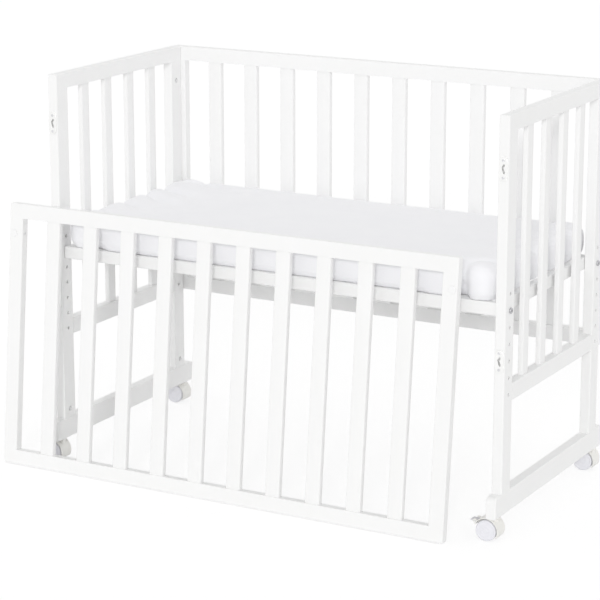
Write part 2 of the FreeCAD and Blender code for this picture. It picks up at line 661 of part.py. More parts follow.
def build_base():
    """The base hangs on four bolts that pass through a height hole into each long rail's end."""
    for name, rail_y in (("base_front_rail", BASE_FRONT_Y), ("base_back_rail", BASE_BACK_Y)):
        rail = new_body(name)
        section = new_sketch(rail, "YZ_Plane")
        draw_rectangle(section, "0", "0", "base_rail_thick", "base_rail_high", "edge_round")
        pad(rail, section, INNER_LONG)
        middle = "base_rail_thick / 2"
        for end, reverse in (("0", True), (INNER_LONG, False)):
            bore(rail, "YZ_Plane", middle, "base_rail_high / 2", "bolt_radius + joint_gap",
                 "nut_inset + 2 * bolt_radius", offset=end, reverse=reverse)
        for x in ("nut_inset", f"{INNER_LONG} - nut_inset"):
            bore(rail, "XY_Plane", x, middle, "nut_radius + joint_gap",
                 "base_rail_high / 2 + nut_long / 2", reverse=True)
        place(rail, BASE_X, rail_y, "base_top - base_rail_high")
        keep(rail)

    for name, x in (("base_left_cross_rail", BASE_X),
                    ("base_right_cross_rail", f"{BASE_X} + {INNER_LONG} - base_rail_thick")):
        rail = new_body(name)
        section = new_sketch(rail, "XZ_Plane")
        draw_rectangle(section, "0", "0", "base_rail_thick", "base_rail_high", "edge_round")
        pad(rail, section, CROSS_LONG, reverse=True)
        place(rail, x, f"{BASE_FRONT_Y} + base_rail_thick", "base_top - base_rail_high")
        keep(rail)

    slats = new_body("base_slats")
    section = new_sketch(slats, "XZ_Plane")
    draw_rectangle(section, "0", "0", "base_slat_wide", "base_slat_thick", "edge_round")
    one = pad(slats, section, CROSS_LONG, reverse=True)
    repeat(slats, one, section, "H_Axis", f"(base_slat_count - 1) * (base_slat_wide + {BASE_SLAT_GAP})",
           "base_slat_count")
    place(slats, f"{BASE_X} + base_rail_thick + {BASE_SLAT_GAP}", f"{BASE_FRONT_Y} + base_rail_thick",
          "base_top - base_slat_thick")
    keep(slats)


build_base()


# ---------------------------------------------------------------------------
# Mattress in its fitted sheet: crowned on top, sides drawn in between the corners
# ---------------------------------------------------------------------------
def mattress_ring(long, wide, inset, height, corner, draw):
    """One level outline: four sides bowed inwards by draw, joined by round corners."""
    half_long, half_wide = long / 2 - inset, wide / 2 - inset
    edges = []
    corners = [(half_long, -half_wide), (half_long, half_wide), (-half_long, half_wide),
               (-half_long, -half_wide)]
    for number, (x, y) in enumerate(corners):
        x_sign, y_sign = (1 if x > 0 else -1), (1 if y > 0 else -1)
        on_end = Vector(x, y - y_sign * corner, height)
        on_side = Vector(x - x_sign * corner, y, height)
        shoulder = corner * (1 - 0.5 ** 0.5)
        bend = Vector(x - x_sign * shoulder, y - y_sign * shoulder, height)
        first, last = (on_side, on_end) if number % 2 == 0 else (on_end, on_side)
        edges.append(Part.Arc(first, bend, last).toShape())
        next_x, next_y = corners[(number + 1) % 4]
        if number % 2 == 0:
            middle = Vector(x - x_sign * draw, 0, height)
            target = Vector(x, next_y - (1 if next_y > 0 else -1) * corner, height)
        else:
            middle = Vector(0, y - y_sign * draw, height)
            target = Vector(next_x - (1 if next_x > 0 else -1) * corner, y, height)
        edges.append(Part.Arc(last, middle, target).toShape())
    return Part.Wire(edges)


def build_mattress():
    """A loft through level outlines, from the flat underside to the crown."""
    size = {alias: number for alias, number, meaning in SIZES}
    long = size["outer_length"] - 2 * size["post_thick"] - 2 * size["mattress_gap"]
    wide = size["frame_depth"] - size["mattress_front"] - size["mattress_gap"]
    thick, corner, draw = size["mattress_thick"], size["mattress_corner"], size["mattress_draw"]
    # height and inset of each outline as shares of the thickness, and its share of the side's draw
    levels = [(0.0, 0.2, 0.6), (0.04, 0.1, 0.7), (0.12, 0.03, 0.8), (0.25, 0.0, 1.0),
              (0.6, 0.0, 1.0), (0.74, 0.015, 0.9), (0.84, 0.05, 0.8), (0.91, 0.11, 0.7),
              (0.95, 0.19, 0.6), (0.975, 0.36, 0.5), (0.99, 0.8, 0.4), (1.0, 2.4, 0.3)]
    rings = [mattress_ring(long, wide, inset * thick, share * thick, corner, pull * draw)
             for share, inset, pull in levels]
    mattress = doc.addObject("Part::Feature", "mattress")
    mattress.Label = "mattress"
    mattress.Shape = Part.makeLoft(rings, True, True)
    place(mattress, "0", "(mattress_front + frame_depth - mattress_gap) / 2", "base_top + seat_gap")
    keep(mattress)


build_mattress()


# ---------------------------------------------------------------------------
# Hook plates on the front legs, their screws, and the hook pins of the front panel
# ---------------------------------------------------------------------------
PLATE_SPOTS = [(side, height) for side in ("left", "right") for height in (UPPER_PLATE, LOWER_PLATE)]


def leg_middle(side):
    return f"({LEFT_X if side == 'left' else RIGHT_X} + post_thick / 2)"


def draw_slot(sketch, start, end, radius):
    """A round-ended slot from a lower point to an upper one, each a pair of expressions."""
    low, high = Vector(0, -8, 0), Vector(0, 8, 0)
    for side in (-3, 3):
        sketch.addGeometry(Part.LineSegment(Vector(side, low.y, 0), Vector(side, high.y, 0)))
    for middle, turn in ((low, 180), (high, 0)):
        circle = Part.Circle(middle, Vector(0, 0, 1), 3)
        sketch.addGeometry(Part.ArcOfCircle(circle, math.radians(turn), math.radians(turn + 180)))
    for line, line_end, arc, arc_end in ((0, 1, 2, 1), (1, 1, 2, 2), (1, 2, 3, 1), (0, 2, 3, 2)):
        sketch.addConstraint(Sketcher.Constraint("Tangent", line, line_end, arc, arc_end))
    sketch.addConstraint(Sketcher.Constraint("Equal", 2, 3))
    measure(sketch, "Radius", 2, 3.0, radius)
    for arc, (x, y), centre in ((2, start, low), (3, end, high)):
        measure(sketch, "DistanceX", -1, 1, arc, 3, centre.x, x)
        measure(sketch, "DistanceY", -1, 1, arc, 3, centre.y, y)


def build_hook_plates():
    """Round-ended plates, each with a bent slot that the pin's neck drops into, and two screws."""
    plates, screws = [], []
    for number, (side, height) in enumerate(PLATE_SPOTS, start=1):
        plate = new_body(f"hook_plate_{number}")
        outline = new_sketch(plate, "XZ_Plane")
        reach = "(plate_high / 2 - plate_wide / 2)"
        draw_slot(outline, ("0", f"-{reach}"), ("0", reach), "plate_wide / 2")
        pad(plate, outline, "plate_thick")
        for lower, upper in ((("slot_lean", "-slot_reach"), ("-slot_lean", "slot_bend")),
                             (("-slot_lean", "slot_bend"), ("slot_lean", "slot_reach"))):
            slot = new_sketch(plate, "XZ_Plane")
            draw_slot(slot, lower, upper, "slot_radius")
            pocket(plate, slot, "plate_thick", reverse=True)
        for step in ("-", "+"):
            bore(plate, "XZ_Plane", "0", f"0 {step} plate_screw_out", "screw_radius + joint_gap",
                 "plate_thick", reverse=True)
            z = f"{height} {step} plate_screw_out"
            shank = cylinder("screw_shank", "screw_radius", "screw_long + plate_thick", "+y",
                             leg_middle(side), "-plate_thick", z)
            head = cone("screw_head", "screw_head_radius", "screw_radius", "screw_head_high", "-y",
                        leg_middle(side), "-plate_thick", z)
            screws.append(fuse("plate_screw", [shank, head]))
        plates.append(at(plate, leg_middle(side), "0", height))
    for name, pieces in (("hook_plates", plates), ("plate_screws", screws)):
        together = group(name, pieces)
        place(together)
        keep(together)


def build_hook_pins():
    """Pins in the front panel's stiles: the upper two go through and have caps and grub screws."""
    upper = "panel_high - pin_drop"
    lower = f"{upper} - plate_lower"
    pins, caps = [], []
    for x in ("post_thick / 2", "outer_length - post_thick / 2"):
        for z, start in ((upper, "0"), (lower, "panel_thick - pin_blind")):
            shank = cylinder("pin_shank", "pin_head_radius", f"panel_thick - ({start})", "+y", x,
                             start, z)
            neck = cylinder("pin_neck", "pin_radius", f"panel_thick + pin_out - ({start})", "+y", x,
                            start, z)
            head = cylinder("pin_head", "pin_head_radius", "pin_head_thick", "+y", x,
                            "panel_thick + pin_out - pin_head_thick", z)
            pins.append(fuse("hook_pin", [shank, neck, head]))
        disc = cylinder("cap_disc", "cap_radius", "cap_thick", "-y", x, "0", upper)
        front = cone("cap_front", "cap_radius", "cap_radius - cap_bevel", "cap_bevel", "-y", x,
                     "-cap_thick", upper)
        caps.append(fuse("panel_cap", [disc, front]))
    locks = [cylinder("lock_screw", "lock_radius", "lock_long", "-x", "stile_wide", "panel_thick / 2",
                      upper),
             cylinder("lock_screw", "lock_radius", "lock_long", "+x", "outer_length - stile_wide",
                      "panel_thick / 2", upper)]
    for name, pieces in (("panel_hook_pins", pins), ("panel_caps", caps), ("panel_lock_screws", locks)):
        together = group(name, pieces)
        place_front_panel(together)
        keep(together)


build_hook_plates()
build_hook_pins()


# ---------------------------------------------------------------------------
# Furniture bolts, barrel nuts and dowels
# ---------------------------------------------------------------------------
def shifted(spot, toward, distance):
    """A spot, three expressions, moved a distance towards one of the axes."""
    moved = list(spot)
    moved["xyz".index(toward[1])] += f" {toward[0]} {distance}"
    return moved


def backwards(toward):
    return {"+": "-", "-": "+"}[toward[0]] + toward[1]


def furniture_bolt(toward, length, spot):
    """A shank from the spot towards one of the axes, and a head with a hexagon socket behind it."""
    shank = cylinder("bolt_shank", "bolt_radius", length, toward, *spot)
    top = shifted(spot, backwards(toward), "bolt_head_high")
    head = cylinder("bolt_head", "bolt_head_radius", "bolt_head_high", toward, *top)
    socket = doc.addObject("Part::Prism", "bolt_socket")
    socket.Polygon = 6
    bind(socket, "Circumradius", "socket_radius")
    bind(socket, "Height", "socket_deep")
    socket.Placement = Placement(Vector(), TURNS[toward])
    at(socket, *top)
    return cut("furniture_bolt", fuse("bolt_blank", [shank, head]), [socket])


def barrel_nut(toward, bolt_toward, spot):
    """A steel barrel with its threaded hole across it, centred on the spot."""
    start = shifted(spot, backwards(toward), "nut_long / 2")
    barrel = cylinder("nut_barrel", "nut_radius", "nut_long", toward, *start)
    thread = cylinder("nut_thread", "bolt_radius + joint_gap", "4 * nut_radius", bolt_toward,
                      *shifted(spot, backwards(bolt_toward), "2 * nut_radius"))
    return cut("barrel_nut", barrel, [thread])


def build_fixings():
    """Bolts that hold the base, the feet and the back panel, with their nuts, and the dowels."""
    legs_y = {"front": "post_depth / 2", "rear": "frame_depth - post_depth / 2"}
    holes_y = {"front": "hole_inset", "rear": "frame_depth - hole_inset"}
    joint_y = {"front": "post_depth", "rear": REAR_LEG_Y}
    outer_x = {"left": LEFT_X, "right": "outer_length / 2"}
    inward = {"left": "+x", "right": "-x"}
    foot_bolt_long = "foot_high - foot_bolt_sink + foot_nut_rise + bolt_radius"

    base_bolts, foot_bolts, nuts, panel_bolts = [], [], [], []
    dowels = panel_dowels(LEFT_X, "frame_depth + panel_thick / 2", PANEL_BOTTOM)
    for side in ("left", "right"):
        for end in ("front", "rear"):
            hole = [outer_x[side], holes_y[end], BOLT_Z]
            base_bolts.append(furniture_bolt(
                inward[side], "post_thick + base_gap + nut_inset + bolt_radius", hole))
            nuts.append(barrel_nut("+z", "+x", shifted(
                hole, inward[side], "(post_thick + base_gap + nut_inset)")))
            underside = [leg_middle(side), legs_y[end], "foot_bottom + foot_bolt_sink"]
            foot_bolts.append(furniture_bolt("+z", foot_bolt_long, underside))
            nuts.append(barrel_nut("+x", "+z", [leg_middle(side), legs_y[end],
                                                f"{FOOT_TOP} + foot_nut_rise"]))
            for step in ("-", "+"):
                dowels.append(cylinder("rail_dowel", "dowel_radius", "dowel_long", "+z",
                                       leg_middle(side), f"{legs_y[end]} {step} post_depth / 4",
                                       f"{LEG_TOP} - dowel_long / 2"))
                dowels.append(cylinder("rail_dowel", "dowel_radius", "dowel_long", "+y",
                                       leg_middle(side), f"{joint_y[end]} - dowel_long / 2",
                                       f"low_rail_bottom + low_rail_high / 2 {step} low_rail_high / 4"))
        for z in PANEL_BOLT_HEIGHTS:
            panel_bolts.append(furniture_bolt("-y", "panel_thick + panel_bolt_grip",
                                              [leg_middle(side), "frame_depth + panel_thick", z]))
            nuts.append(barrel_nut("+x", "-y", [leg_middle(side), legs_y["rear"], z]))
    for name, pieces in (("base_bolts", base_bolts), ("foot_bolts", foot_bolts), ("barrel_nuts", nuts),
                         ("frame_dowels", dowels), ("back_panel_bolts", panel_bolts)):
        together = group(name, pieces)
        place(together)
        keep(together)


build_fixings()


# ---------------------------------------------------------------------------
# Twin-wheel casters.  Each is drawn round its stem: X = Y = 0 on the stem, Z = 0 on the floor
# ---------------------------------------------------------------------------
WHEEL_X = "(-caster_trail)"
HOOD_INNER = "(wheel_radius + hood_gap)"
HOOD_OUTER = "(wheel_radius + hood_gap + hood_thick)"
CASTER_WIDE = "(web_thick + 2 * wheel_gap + 2 * wheel_wide)"
BRAKE_X = f"({WHEEL_X} + ({HOOD_OUTER} + brake_out) * cos(brake_angle))"
BRAKE_Z = f"(wheel_radius + ({HOOD_OUTER} + brake_out) * sin(brake_angle))"
BOSS_LOW = "(wheel_radius + hood_gap + wheel_radius)"
CASTER_TOP = "(foot_bottom - collar_thick - collar_gap)"


def caster_spot(side, end):
    rear = f"{FOOT_LONG} - foot_ahead - caster_end"
    return leg_middle(side), "caster_end - foot_ahead" if end == "front" else rear


def put_on_caster(thing, side, end):
    place(thing, *caster_spot(side, end))
    keep(thing)


def drum(name, radius, width, x=WHEEL_X, z="wheel_radius"):
    """A cylinder across the caster, centred between its wheels."""
    return cylinder(name, radius, width, "+y", x, f"-({width}) / 2", z)


def build_hood(side, end, braked):
    """The moulded housing: web between the wheels, hood over them, boss round the stem."""
    shell = cut("hood_ring", drum("hood_outside", HOOD_OUTER, CASTER_WIDE),
                [drum("hood_inside", HOOD_INNER, f"{CASTER_WIDE} + 2 * cut_past")])
    web = drum("hood_web", f"{HOOD_INNER} + hood_thick / 2", "web_thick")
    below = box("hood_below", "2 * hood_cut", f"{CASTER_WIDE} + 2 * cut_past", "hood_cut",
                f"{WHEEL_X} - hood_cut * cos(hood_tilt) - (hood_cut + hood_drop) * sin(hood_tilt)",
                f"-{CASTER_WIDE} / 2 - cut_past",
                "wheel_radius + hood_cut * sin(hood_tilt) - (hood_cut + hood_drop) * cos(hood_tilt)")
    below.Placement = Placement(below.Placement.Base, Rotation(Vector(0, 1, 0), 1))
    bind(below, "Placement.Rotation.Angle", "hood_tilt")
    upper = cut("hood_upper", fuse("hood_full", [shell, web]), [below])
    hub = drum("hood_hub", "hub_radius", "web_thick")
    boss = cylinder("hood_boss", "boss_radius", f"{CASTER_TOP} - {BOSS_LOW}", "+z", "0", "0", BOSS_LOW)
    column = box("hood_column", "caster_trail + web_thick / 2", "web_thick",
                 f"{BOSS_LOW} + column_lap - wheel_radius", WHEEL_X, "-web_thick / 2", "wheel_radius")
    solids = [upper, hub, boss, column]
    tools = [cylinder("stem_bore", "stem_radius + running_gap", "foot_bottom", "+z", "0", "0",
                      "foot_bottom - stem_down - running_gap"),
             drum("axle_bore", "axle_radius + running_gap", f"{CASTER_WIDE} + 2 * cut_past")]
    if braked:
        for toward in ("-y", "+y"):
            start = shifted([BRAKE_X, "0", BRAKE_Z], toward, "(lever_hub_wide / 2 + ear_gap)")
            solids.append(cylinder("brake_ear", "ear_radius", "ear_thick", toward, *start))
        tools.append(drum("brake_bore", "brake_pin_radius + running_gap", CASTER_WIDE, BRAKE_X, BRAKE_Z))
    put_on_caster(cut(f"{side}_{end}_caster_hood", fuse("hood_blank", solids), tools), side, end)


def build_wheels(side, end):
    """Two moulded wheels, dished on the outer face, each free on the axle."""
    x, y = caster_spot(side, end)
    for name, front_face, dish_from, dish_back in (
            ("wheel_front", "-web_thick / 2 - wheel_gap - wheel_wide", "0", False),
            ("wheel_rear", "web_thick / 2 + wheel_gap", "-wheel_wide", True)):
        wheel = new_body(f"{side}_{end}_{name}")
        disc = new_sketch(wheel, "XZ_Plane")
        draw_circle(disc, "0", "0", "wheel_radius")
        pad(wheel, disc, "wheel_wide", reverse=True)
        round_edges(wheel, "wheel_edge", lambda edge: edge.Closed)
        bore(wheel, "XZ_Plane", "0", "0", "dish_radius", "wheel_dish", dish_from, dish_back)
        bore(wheel, "XZ_Plane", "0", "0", "axle_radius + running_gap", "wheel_wide")
        place(wheel, f"{x} + {WHEEL_X}", f"{y} + {front_face}", "wheel_radius")
        keep(wheel)


def build_brake(side, end):
    """A foot lever on a steel pin between the hood's ears."""
    hub = drum("lever_hub", "lever_hub_radius", "lever_hub_wide", BRAKE_X, BRAKE_Z)
    low = f"{BRAKE_Z} - lever_thick / 2"
    neck = box("lever_plate", "lever_neck", "lever_hub_wide", "lever_thick",
               f"{BRAKE_X} - lever_neck", "-lever_hub_wide / 2", low)
    pedal = box("lever_pedal", "lever_long - lever_neck", "lever_wide", "lever_thick",
                f"{BRAKE_X} - lever_long", "-lever_wide / 2", low)
    hole = drum("lever_hole", "brake_pin_radius + running_gap", CASTER_WIDE, BRAKE_X, BRAKE_Z)
    lever = cut(f"{side}_{end}_brake_lever", fuse("lever_blank", [hub, neck, pedal]), [hole])
    put_on_caster(lever, side, end)
    pin = drum("brake_pin_rod", "brake_pin_radius", "lever_hub_wide + 2 * (ear_gap + ear_thick)",
               BRAKE_X, BRAKE_Z)
    put_on_caster(group(f"{side}_{end}_brake_pin", [pin]), side, end)


def build_caster(side, end):
    """One caster with its axle; the stem and its collar stay with the foot."""
    build_hood(side, end, end == "front")
    build_wheels(side, end)
    axle = drum("axle_rod", "axle_radius", f"{CASTER_WIDE} - 2 * wheel_dish")
    put_on_caster(group(f"{side}_{end}_caster_axle", [axle]), side, end)
    if end == "front":
        build_brake(side, end)
    x, y = caster_spot(side, end)
    rod = cylinder("stem_rod", "stem_radius", "stem_down + stem_up", "+z", x, y, "foot_bottom - stem_down")
    collar = cylinder("stem_collar", "collar_radius", "collar_thick", "+z", x, y,
                      "foot_bottom - collar_thick")
    return fuse("caster_stem", [rod, collar])


stems = [build_caster(side, end) for side in ("left", "right") for end in ("front", "rear")]
caster_stems = group("caster_stems", stems)
place(caster_stems)
keep(caster_stems)


# ---------------------------------------------------------------------------
# Check every object, then write one file for each node
# ---------------------------------------------------------------------------
doc.recompute()
for thing in doc.Objects:
    if "Invalid" in thing.State or "Error" in thing.State:
        raise ValueError(f"{thing.Name} failed: {thing.State}")
for piece in nodes:
    if piece.Shape.isNull() or not piece.Shape.isValid():
        raise ValueError(f"{piece.Label} has no valid solid")
    piece.Shape.exportStep(f"parts/{piece.Label}.step")
print(len(nodes), "pieces written")
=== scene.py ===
import bmesh
import bpy
import math
from mathutils import Matrix, Vector, bvhtree, noise


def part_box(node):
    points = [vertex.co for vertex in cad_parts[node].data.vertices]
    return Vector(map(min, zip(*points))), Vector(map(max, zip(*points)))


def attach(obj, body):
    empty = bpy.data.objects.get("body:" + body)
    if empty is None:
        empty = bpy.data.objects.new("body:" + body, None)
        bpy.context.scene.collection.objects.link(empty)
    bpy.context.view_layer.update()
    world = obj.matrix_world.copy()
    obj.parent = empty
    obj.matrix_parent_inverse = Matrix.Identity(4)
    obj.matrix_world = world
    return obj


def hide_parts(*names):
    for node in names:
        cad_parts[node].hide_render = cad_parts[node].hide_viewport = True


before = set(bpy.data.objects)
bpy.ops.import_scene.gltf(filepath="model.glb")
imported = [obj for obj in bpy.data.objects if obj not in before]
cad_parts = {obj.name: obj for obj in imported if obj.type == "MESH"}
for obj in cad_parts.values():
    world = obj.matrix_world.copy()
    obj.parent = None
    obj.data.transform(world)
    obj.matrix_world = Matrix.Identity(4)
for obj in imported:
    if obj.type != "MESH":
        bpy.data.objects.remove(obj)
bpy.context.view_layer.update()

# ---------------------------------------------------------------------------
# Legs, rails, stiles and feet.  Planed beech boards, edges rounded to 2 mm, sprayed with white
# satin lacquer.  Rails are dowelled to the legs and stiles, and each foot is bolted on from below.
# ---------------------------------------------------------------------------
MM = 0.001


def colour(hex_code):
    """An sRGB hex colour as linear red, green, blue and alpha."""
    parts = [int(hex_code[start:start + 2], 16) / 255 for start in (0, 2, 4)]
    return tuple(part / 12.92 if part <= 0.04045 else ((part + 0.055) / 1.055) ** 2.4
                 for part in parts) + (1.0,)


def node(tree, kind, settings=None, **sockets):
    """Add a node.  A socket given another socket is linked to it; otherwise it takes the value."""
    made = tree.nodes.new(kind)
    for name, value in (settings or {}).items():
        setattr(made, name, value)
    for name, value in sockets.items():
        if name.startswith("at_"):
            socket = made.inputs[int(name[3:])]
        else:
            socket = made.inputs[name.replace("_", " ")]
        if isinstance(value, bpy.types.NodeSocket):
            tree.links.new(value, socket)
        else:
            socket.default_value = value
    return made


def new_finish(name):
    """An empty node material and its tree, with no nodes in it yet."""
    finish = bpy.data.materials.new(name)
    finish.use_nodes = True
    finish.node_tree.nodes.clear()
    return finish, finish.node_tree


def lacquered_beech(name, along):
    """White satin lacquer over beech, its grain running along one axis.

    The spray leaves a faint orange peel, the long pores show as hair lines in the film, and the
    film is a touch warmer where it lies thin.
    """
    pore_wide, pore_long = 1.6 * MM, 45 * MM     # real pores are 0.1 mm wide; coarser here to show
    peel_size, film_size = 2.2 * MM, 70 * MM
    thick_film, thin_film = colour("fafafa"), colour("f7f7f6")
    finish, tree = new_finish(name)
    place = node(tree, "ShaderNodeTexCoord")
    stretch = [1 / pore_wide] * 3
    stretch["xyz".index(along)] = 1 / pore_long
    grain_place = node(tree, "ShaderNodeMapping", Vector=place.outputs["Object"], Scale=stretch)
    grain = node(tree, "ShaderNodeTexNoise", Vector=grain_place.outputs[0], Scale=1.0, Detail=3.0,
                 Roughness=0.6)
    peel = node(tree, "ShaderNodeTexNoise", Vector=place.outputs["Object"], Scale=1 / peel_size,
                Detail=1.0)
    film = node(tree, "ShaderNodeTexNoise", Vector=place.outputs["Object"], Scale=1 / film_size,
                Detail=2.0)
    shade = node(tree, "ShaderNodeMix", {"data_type": "RGBA"}, Factor=film.outputs[0],
                 at_6=thick_film, at_7=thin_film)
    sheen = node(tree, "ShaderNodeMapRange", Value=grain.outputs[0], To_Min=0.36, To_Max=0.46)
    peel_bump = node(tree, "ShaderNodeBump", Height=peel.outputs[0], Strength=0.12,
                     Distance=0.05 * MM)
    bump = node(tree, "ShaderNodeBump", Height=grain.outputs[0], Normal=peel_bump.outputs[0],
                Strength=0.25, Distance=0.08 * MM)
    shader = node(tree, "ShaderNodeBsdfPrincipled", Base_Color=shade.outputs[2],
                  Roughness=sheen.outputs[0], IOR=1.5, Normal=bump.outputs[0])
    node(tree, "ShaderNodeOutputMaterial", Surface=shader.outputs[0])
    return finish


lacquer = {axis: lacquered_beech(f"white_satin_lacquer_on_beech_{axis}", axis) for axis in "xyz"}


def paint(names, finish):
    """Give CAD nodes a finish in place of the plain one they came with."""
    for name in names:
        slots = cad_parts[name].data.materials
        slots.clear()
        slots.append(finish)


SIDES, ENDS, PANELS = ("left", "right"), ("front", "rear"), ("back_panel", "front_panel")
paint([f"{side}_{end}_leg" for side in SIDES for end in ENDS]
      + [f"{panel}_{side}_stile" for panel in PANELS for side in SIDES], lacquer["z"])
paint([f"{side}_{part}" for side in SIDES for part in ("top_rail", "bottom_rail", "foot")]
      + [f"base_{side}_cross_rail" for side in SIDES], lacquer["y"])
paint([f"{panel}_{level}_rail" for panel in PANELS for level in ("top", "bottom")]
      + ["base_front_rail", "base_back_rail"], lacquer["x"])

# ---------------------------------------------------------------------------
# Slats.  Beech laths with rounded edges, tenoned 8 mm into the rails above and below, sprayed with
# the frame they belong to.  The base has wider laths laid flat between its two long rails.
# ---------------------------------------------------------------------------


def slat_row_tree():
    """One lath with a rounded section, repeated at even spacing along X."""
    tree = bpy.data.node_groups.new("slat_row", "GeometryNodeTree")
    for name, kind in (("Width", "Float"), ("Thickness", "Float"), ("Length", "Float"),
                       ("Edge radius", "Float"), ("Spacing", "Float"), ("Count", "Int"),
                       ("Finish", "Material")):
        tree.interface.new_socket(name, in_out="INPUT", socket_type=f"NodeSocket{kind}")
    tree.interface.new_socket("Laths", in_out="OUTPUT", socket_type="NodeSocketGeometry")
    given = node(tree, "NodeGroupInput").outputs
    section = node(tree, "GeometryNodeCurvePrimitiveQuadrilateral", Width=given["Width"],
                   Height=given["Thickness"])
    rounded = node(tree, "GeometryNodeFilletCurve", {"mode": "POLY"}, Curve=section.outputs[0],
                   Count=4, Radius=given["Edge radius"])
    top = node(tree, "ShaderNodeCombineXYZ", Z=given["Length"])
    run = node(tree, "GeometryNodeCurvePrimitiveLine", End=top.outputs[0])
    lath = node(tree, "GeometryNodeCurveToMesh", Curve=run.outputs[0],
                Profile_Curve=rounded.outputs[0], Fill_Caps=True)
    step = node(tree, "ShaderNodeCombineXYZ", X=given["Spacing"])
    places = node(tree, "GeometryNodeMeshLine", {"mode": "OFFSET"}, Count=given["Count"],
                  Offset=step.outputs[0])
    row = node(tree, "GeometryNodeInstanceOnPoints", Points=places.outputs[0],
               Instance=lath.outputs[0])
    real = node(tree, "GeometryNodeRealizeInstances", Geometry=row.outputs[0])
    done = node(tree, "GeometryNodeSetMaterial", Geometry=real.outputs[0], Material=given["Finish"])
    node(tree, "NodeGroupOutput", Laths=done.outputs[0])
    return tree


def show(name, mesh):
    """Put a mesh, a lamp or a camera in the scene."""
    piece = bpy.data.objects.new(name, mesh)
    bpy.context.scene.collection.objects.link(piece)
    return piece


def grow(name, tree, given, turn=Matrix(), points=(), facing=None, joined=False):
    """Run a geometry tree over some points and keep its result as a plain mesh, put into place."""
    start = bpy.data.meshes.new(name)
    edges = [(number, number + 1) for number in range(len(points) - 1)] if joined else []
    start.from_pydata(points, edges, [])
    if facing:
        ways = start.attributes.new("facing", "FLOAT_VECTOR", "POINT")
        for item, way in zip(ways.data, facing):
            item.vector = way
    seed = show(name, start)
    modifier = seed.modifiers.new("grow", "NODES")
    modifier.node_group = tree
    for item in tree.interface.items_tree:
        if item.in_out == "INPUT" and item.socket_type != "NodeSocketGeometry":
            modifier[item.identifier] = given[item.name]
    ready = seed.evaluated_get(bpy.context.evaluated_depsgraph_get())
    mesh = bpy.data.meshes.new_from_object(ready)
    mesh.transform(turn)
    bpy.data.objects.remove(seed)
    return show(name, mesh)


SLAT_TREE = slat_row_tree()
LATH_EDGE = 2                                    # mm, the radius along each lath's edges


def stand_in_for(piece, body, source):
    """Let a finished piece take the place of a CAD node and move with its body."""
    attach(piece, body)
    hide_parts(source)
    return piece


def slat_row(nodes, body, finish, turn, width, thickness, length, spacing, count):
    """Set a row of rounded laths in place of a node.  Sizes in mm, before the row is turned."""
    row = grow(f"{nodes}_rounded", SLAT_TREE,
               {"Width": width * MM, "Thickness": thickness * MM, "Length": length * MM,
                "Edge radius": LATH_EDGE * MM, "Spacing": spacing * MM, "Count": count,
                "Finish": finish}, turn)
    return stand_in_for(row, body, nodes)


# both panels, in mm: the outside, stiles, rails and tenons, then their laths
PANEL_LONG, PANEL_HIGH, PANEL_THICK, STILE, PANEL_RAIL, TENON = 965, 520, 18, 30, 29, 8
PANEL_LATH, PANEL_LATH_THICK, PANEL_LATHS = 30, 12, 10
panel_gap = (PANEL_LONG - 2 * STILE - PANEL_LATHS * PANEL_LATH) / (PANEL_LATHS + 1)
panel_lath_long = PANEL_HIGH - 2 * PANEL_RAIL + 2 * TENON
panel_row = (PANEL_LATH, PANEL_LATH_THICK, panel_lath_long, PANEL_LATH + panel_gap, PANEL_LATHS)
first_lath = Matrix.Translation(Vector((STILE + panel_gap + PANEL_LATH / 2, PANEL_THICK / 2,
                                        PANEL_RAIL - TENON)) * MM)
back_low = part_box("back_panel_bottom_rail")[0]
slat_row("back_panel_slats", "frame", lacquer["z"], Matrix.Translation(back_low) @ first_lath,
         *panel_row)

# the front panel leans back on its lower rear edge, its top a hair's breadth from the left leg
LEAN, LEG_GAP = math.radians(5.6), 0.4
leg_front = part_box("left_front_leg")[0].y
panel_foot = Vector((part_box("front_panel_top_rail")[0].x,
                     leg_front - (LEG_GAP + PANEL_THICK * math.cos(LEAN)
                                  + PANEL_HIGH * math.sin(LEAN)) * MM,
                     PANEL_THICK * math.sin(LEAN) * MM))
LEANING = Matrix.Translation(panel_foot) @ Matrix.Rotation(-LEAN, 4, "X")
slat_row("front_panel_slats", "front_panel", lacquer["z"], LEANING @ first_lath, *panel_row)

END_LATH, END_LATHS = 25, 4
QUARTER_TURN = Matrix.Rotation(math.radians(90), 4, "Z")
for side in SIDES:
    low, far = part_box(f"{side}_end_slats")
    size = (far - low) / MM
    first = Matrix.Translation(Vector(((low.x + far.x) / 2, low.y + END_LATH * MM / 2, low.z)))
    slat_row(f"{side}_end_slats", "frame", lacquer["z"], first @ QUARTER_TURN, END_LATH, size.x,
             size.z, (size.y - END_LATH) / (END_LATHS - 1), END_LATHS)

BASE_LATH, BASE_LATHS = 60, 8
LAID_FLAT = Matrix.Rotation(math.radians(-90), 4, "X")
low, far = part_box("base_slats")
size = (far - low) / MM
first = Matrix.Translation(Vector((low.x + BASE_LATH * MM / 2, low.y, (low.z + far.z) / 2)))
slat_row("base_slats", "frame", lacquer["y"], first @ LAID_FLAT, BASE_LATH, size.z, size.y,
         (size.x - BASE_LATH) / (BASE_LATHS - 1), BASE_LATHS)

# ---------------------------------------------------------------------------
# Mattress.  A foam block in a fitted sheet of white cotton, pulled round the corners, creased from
# the left end and swelling between the end slats.  It lies loose on the base, and underneath the
# quilted ticking shows inside the sheet's elastic edge.
# ---------------------------------------------------------------------------


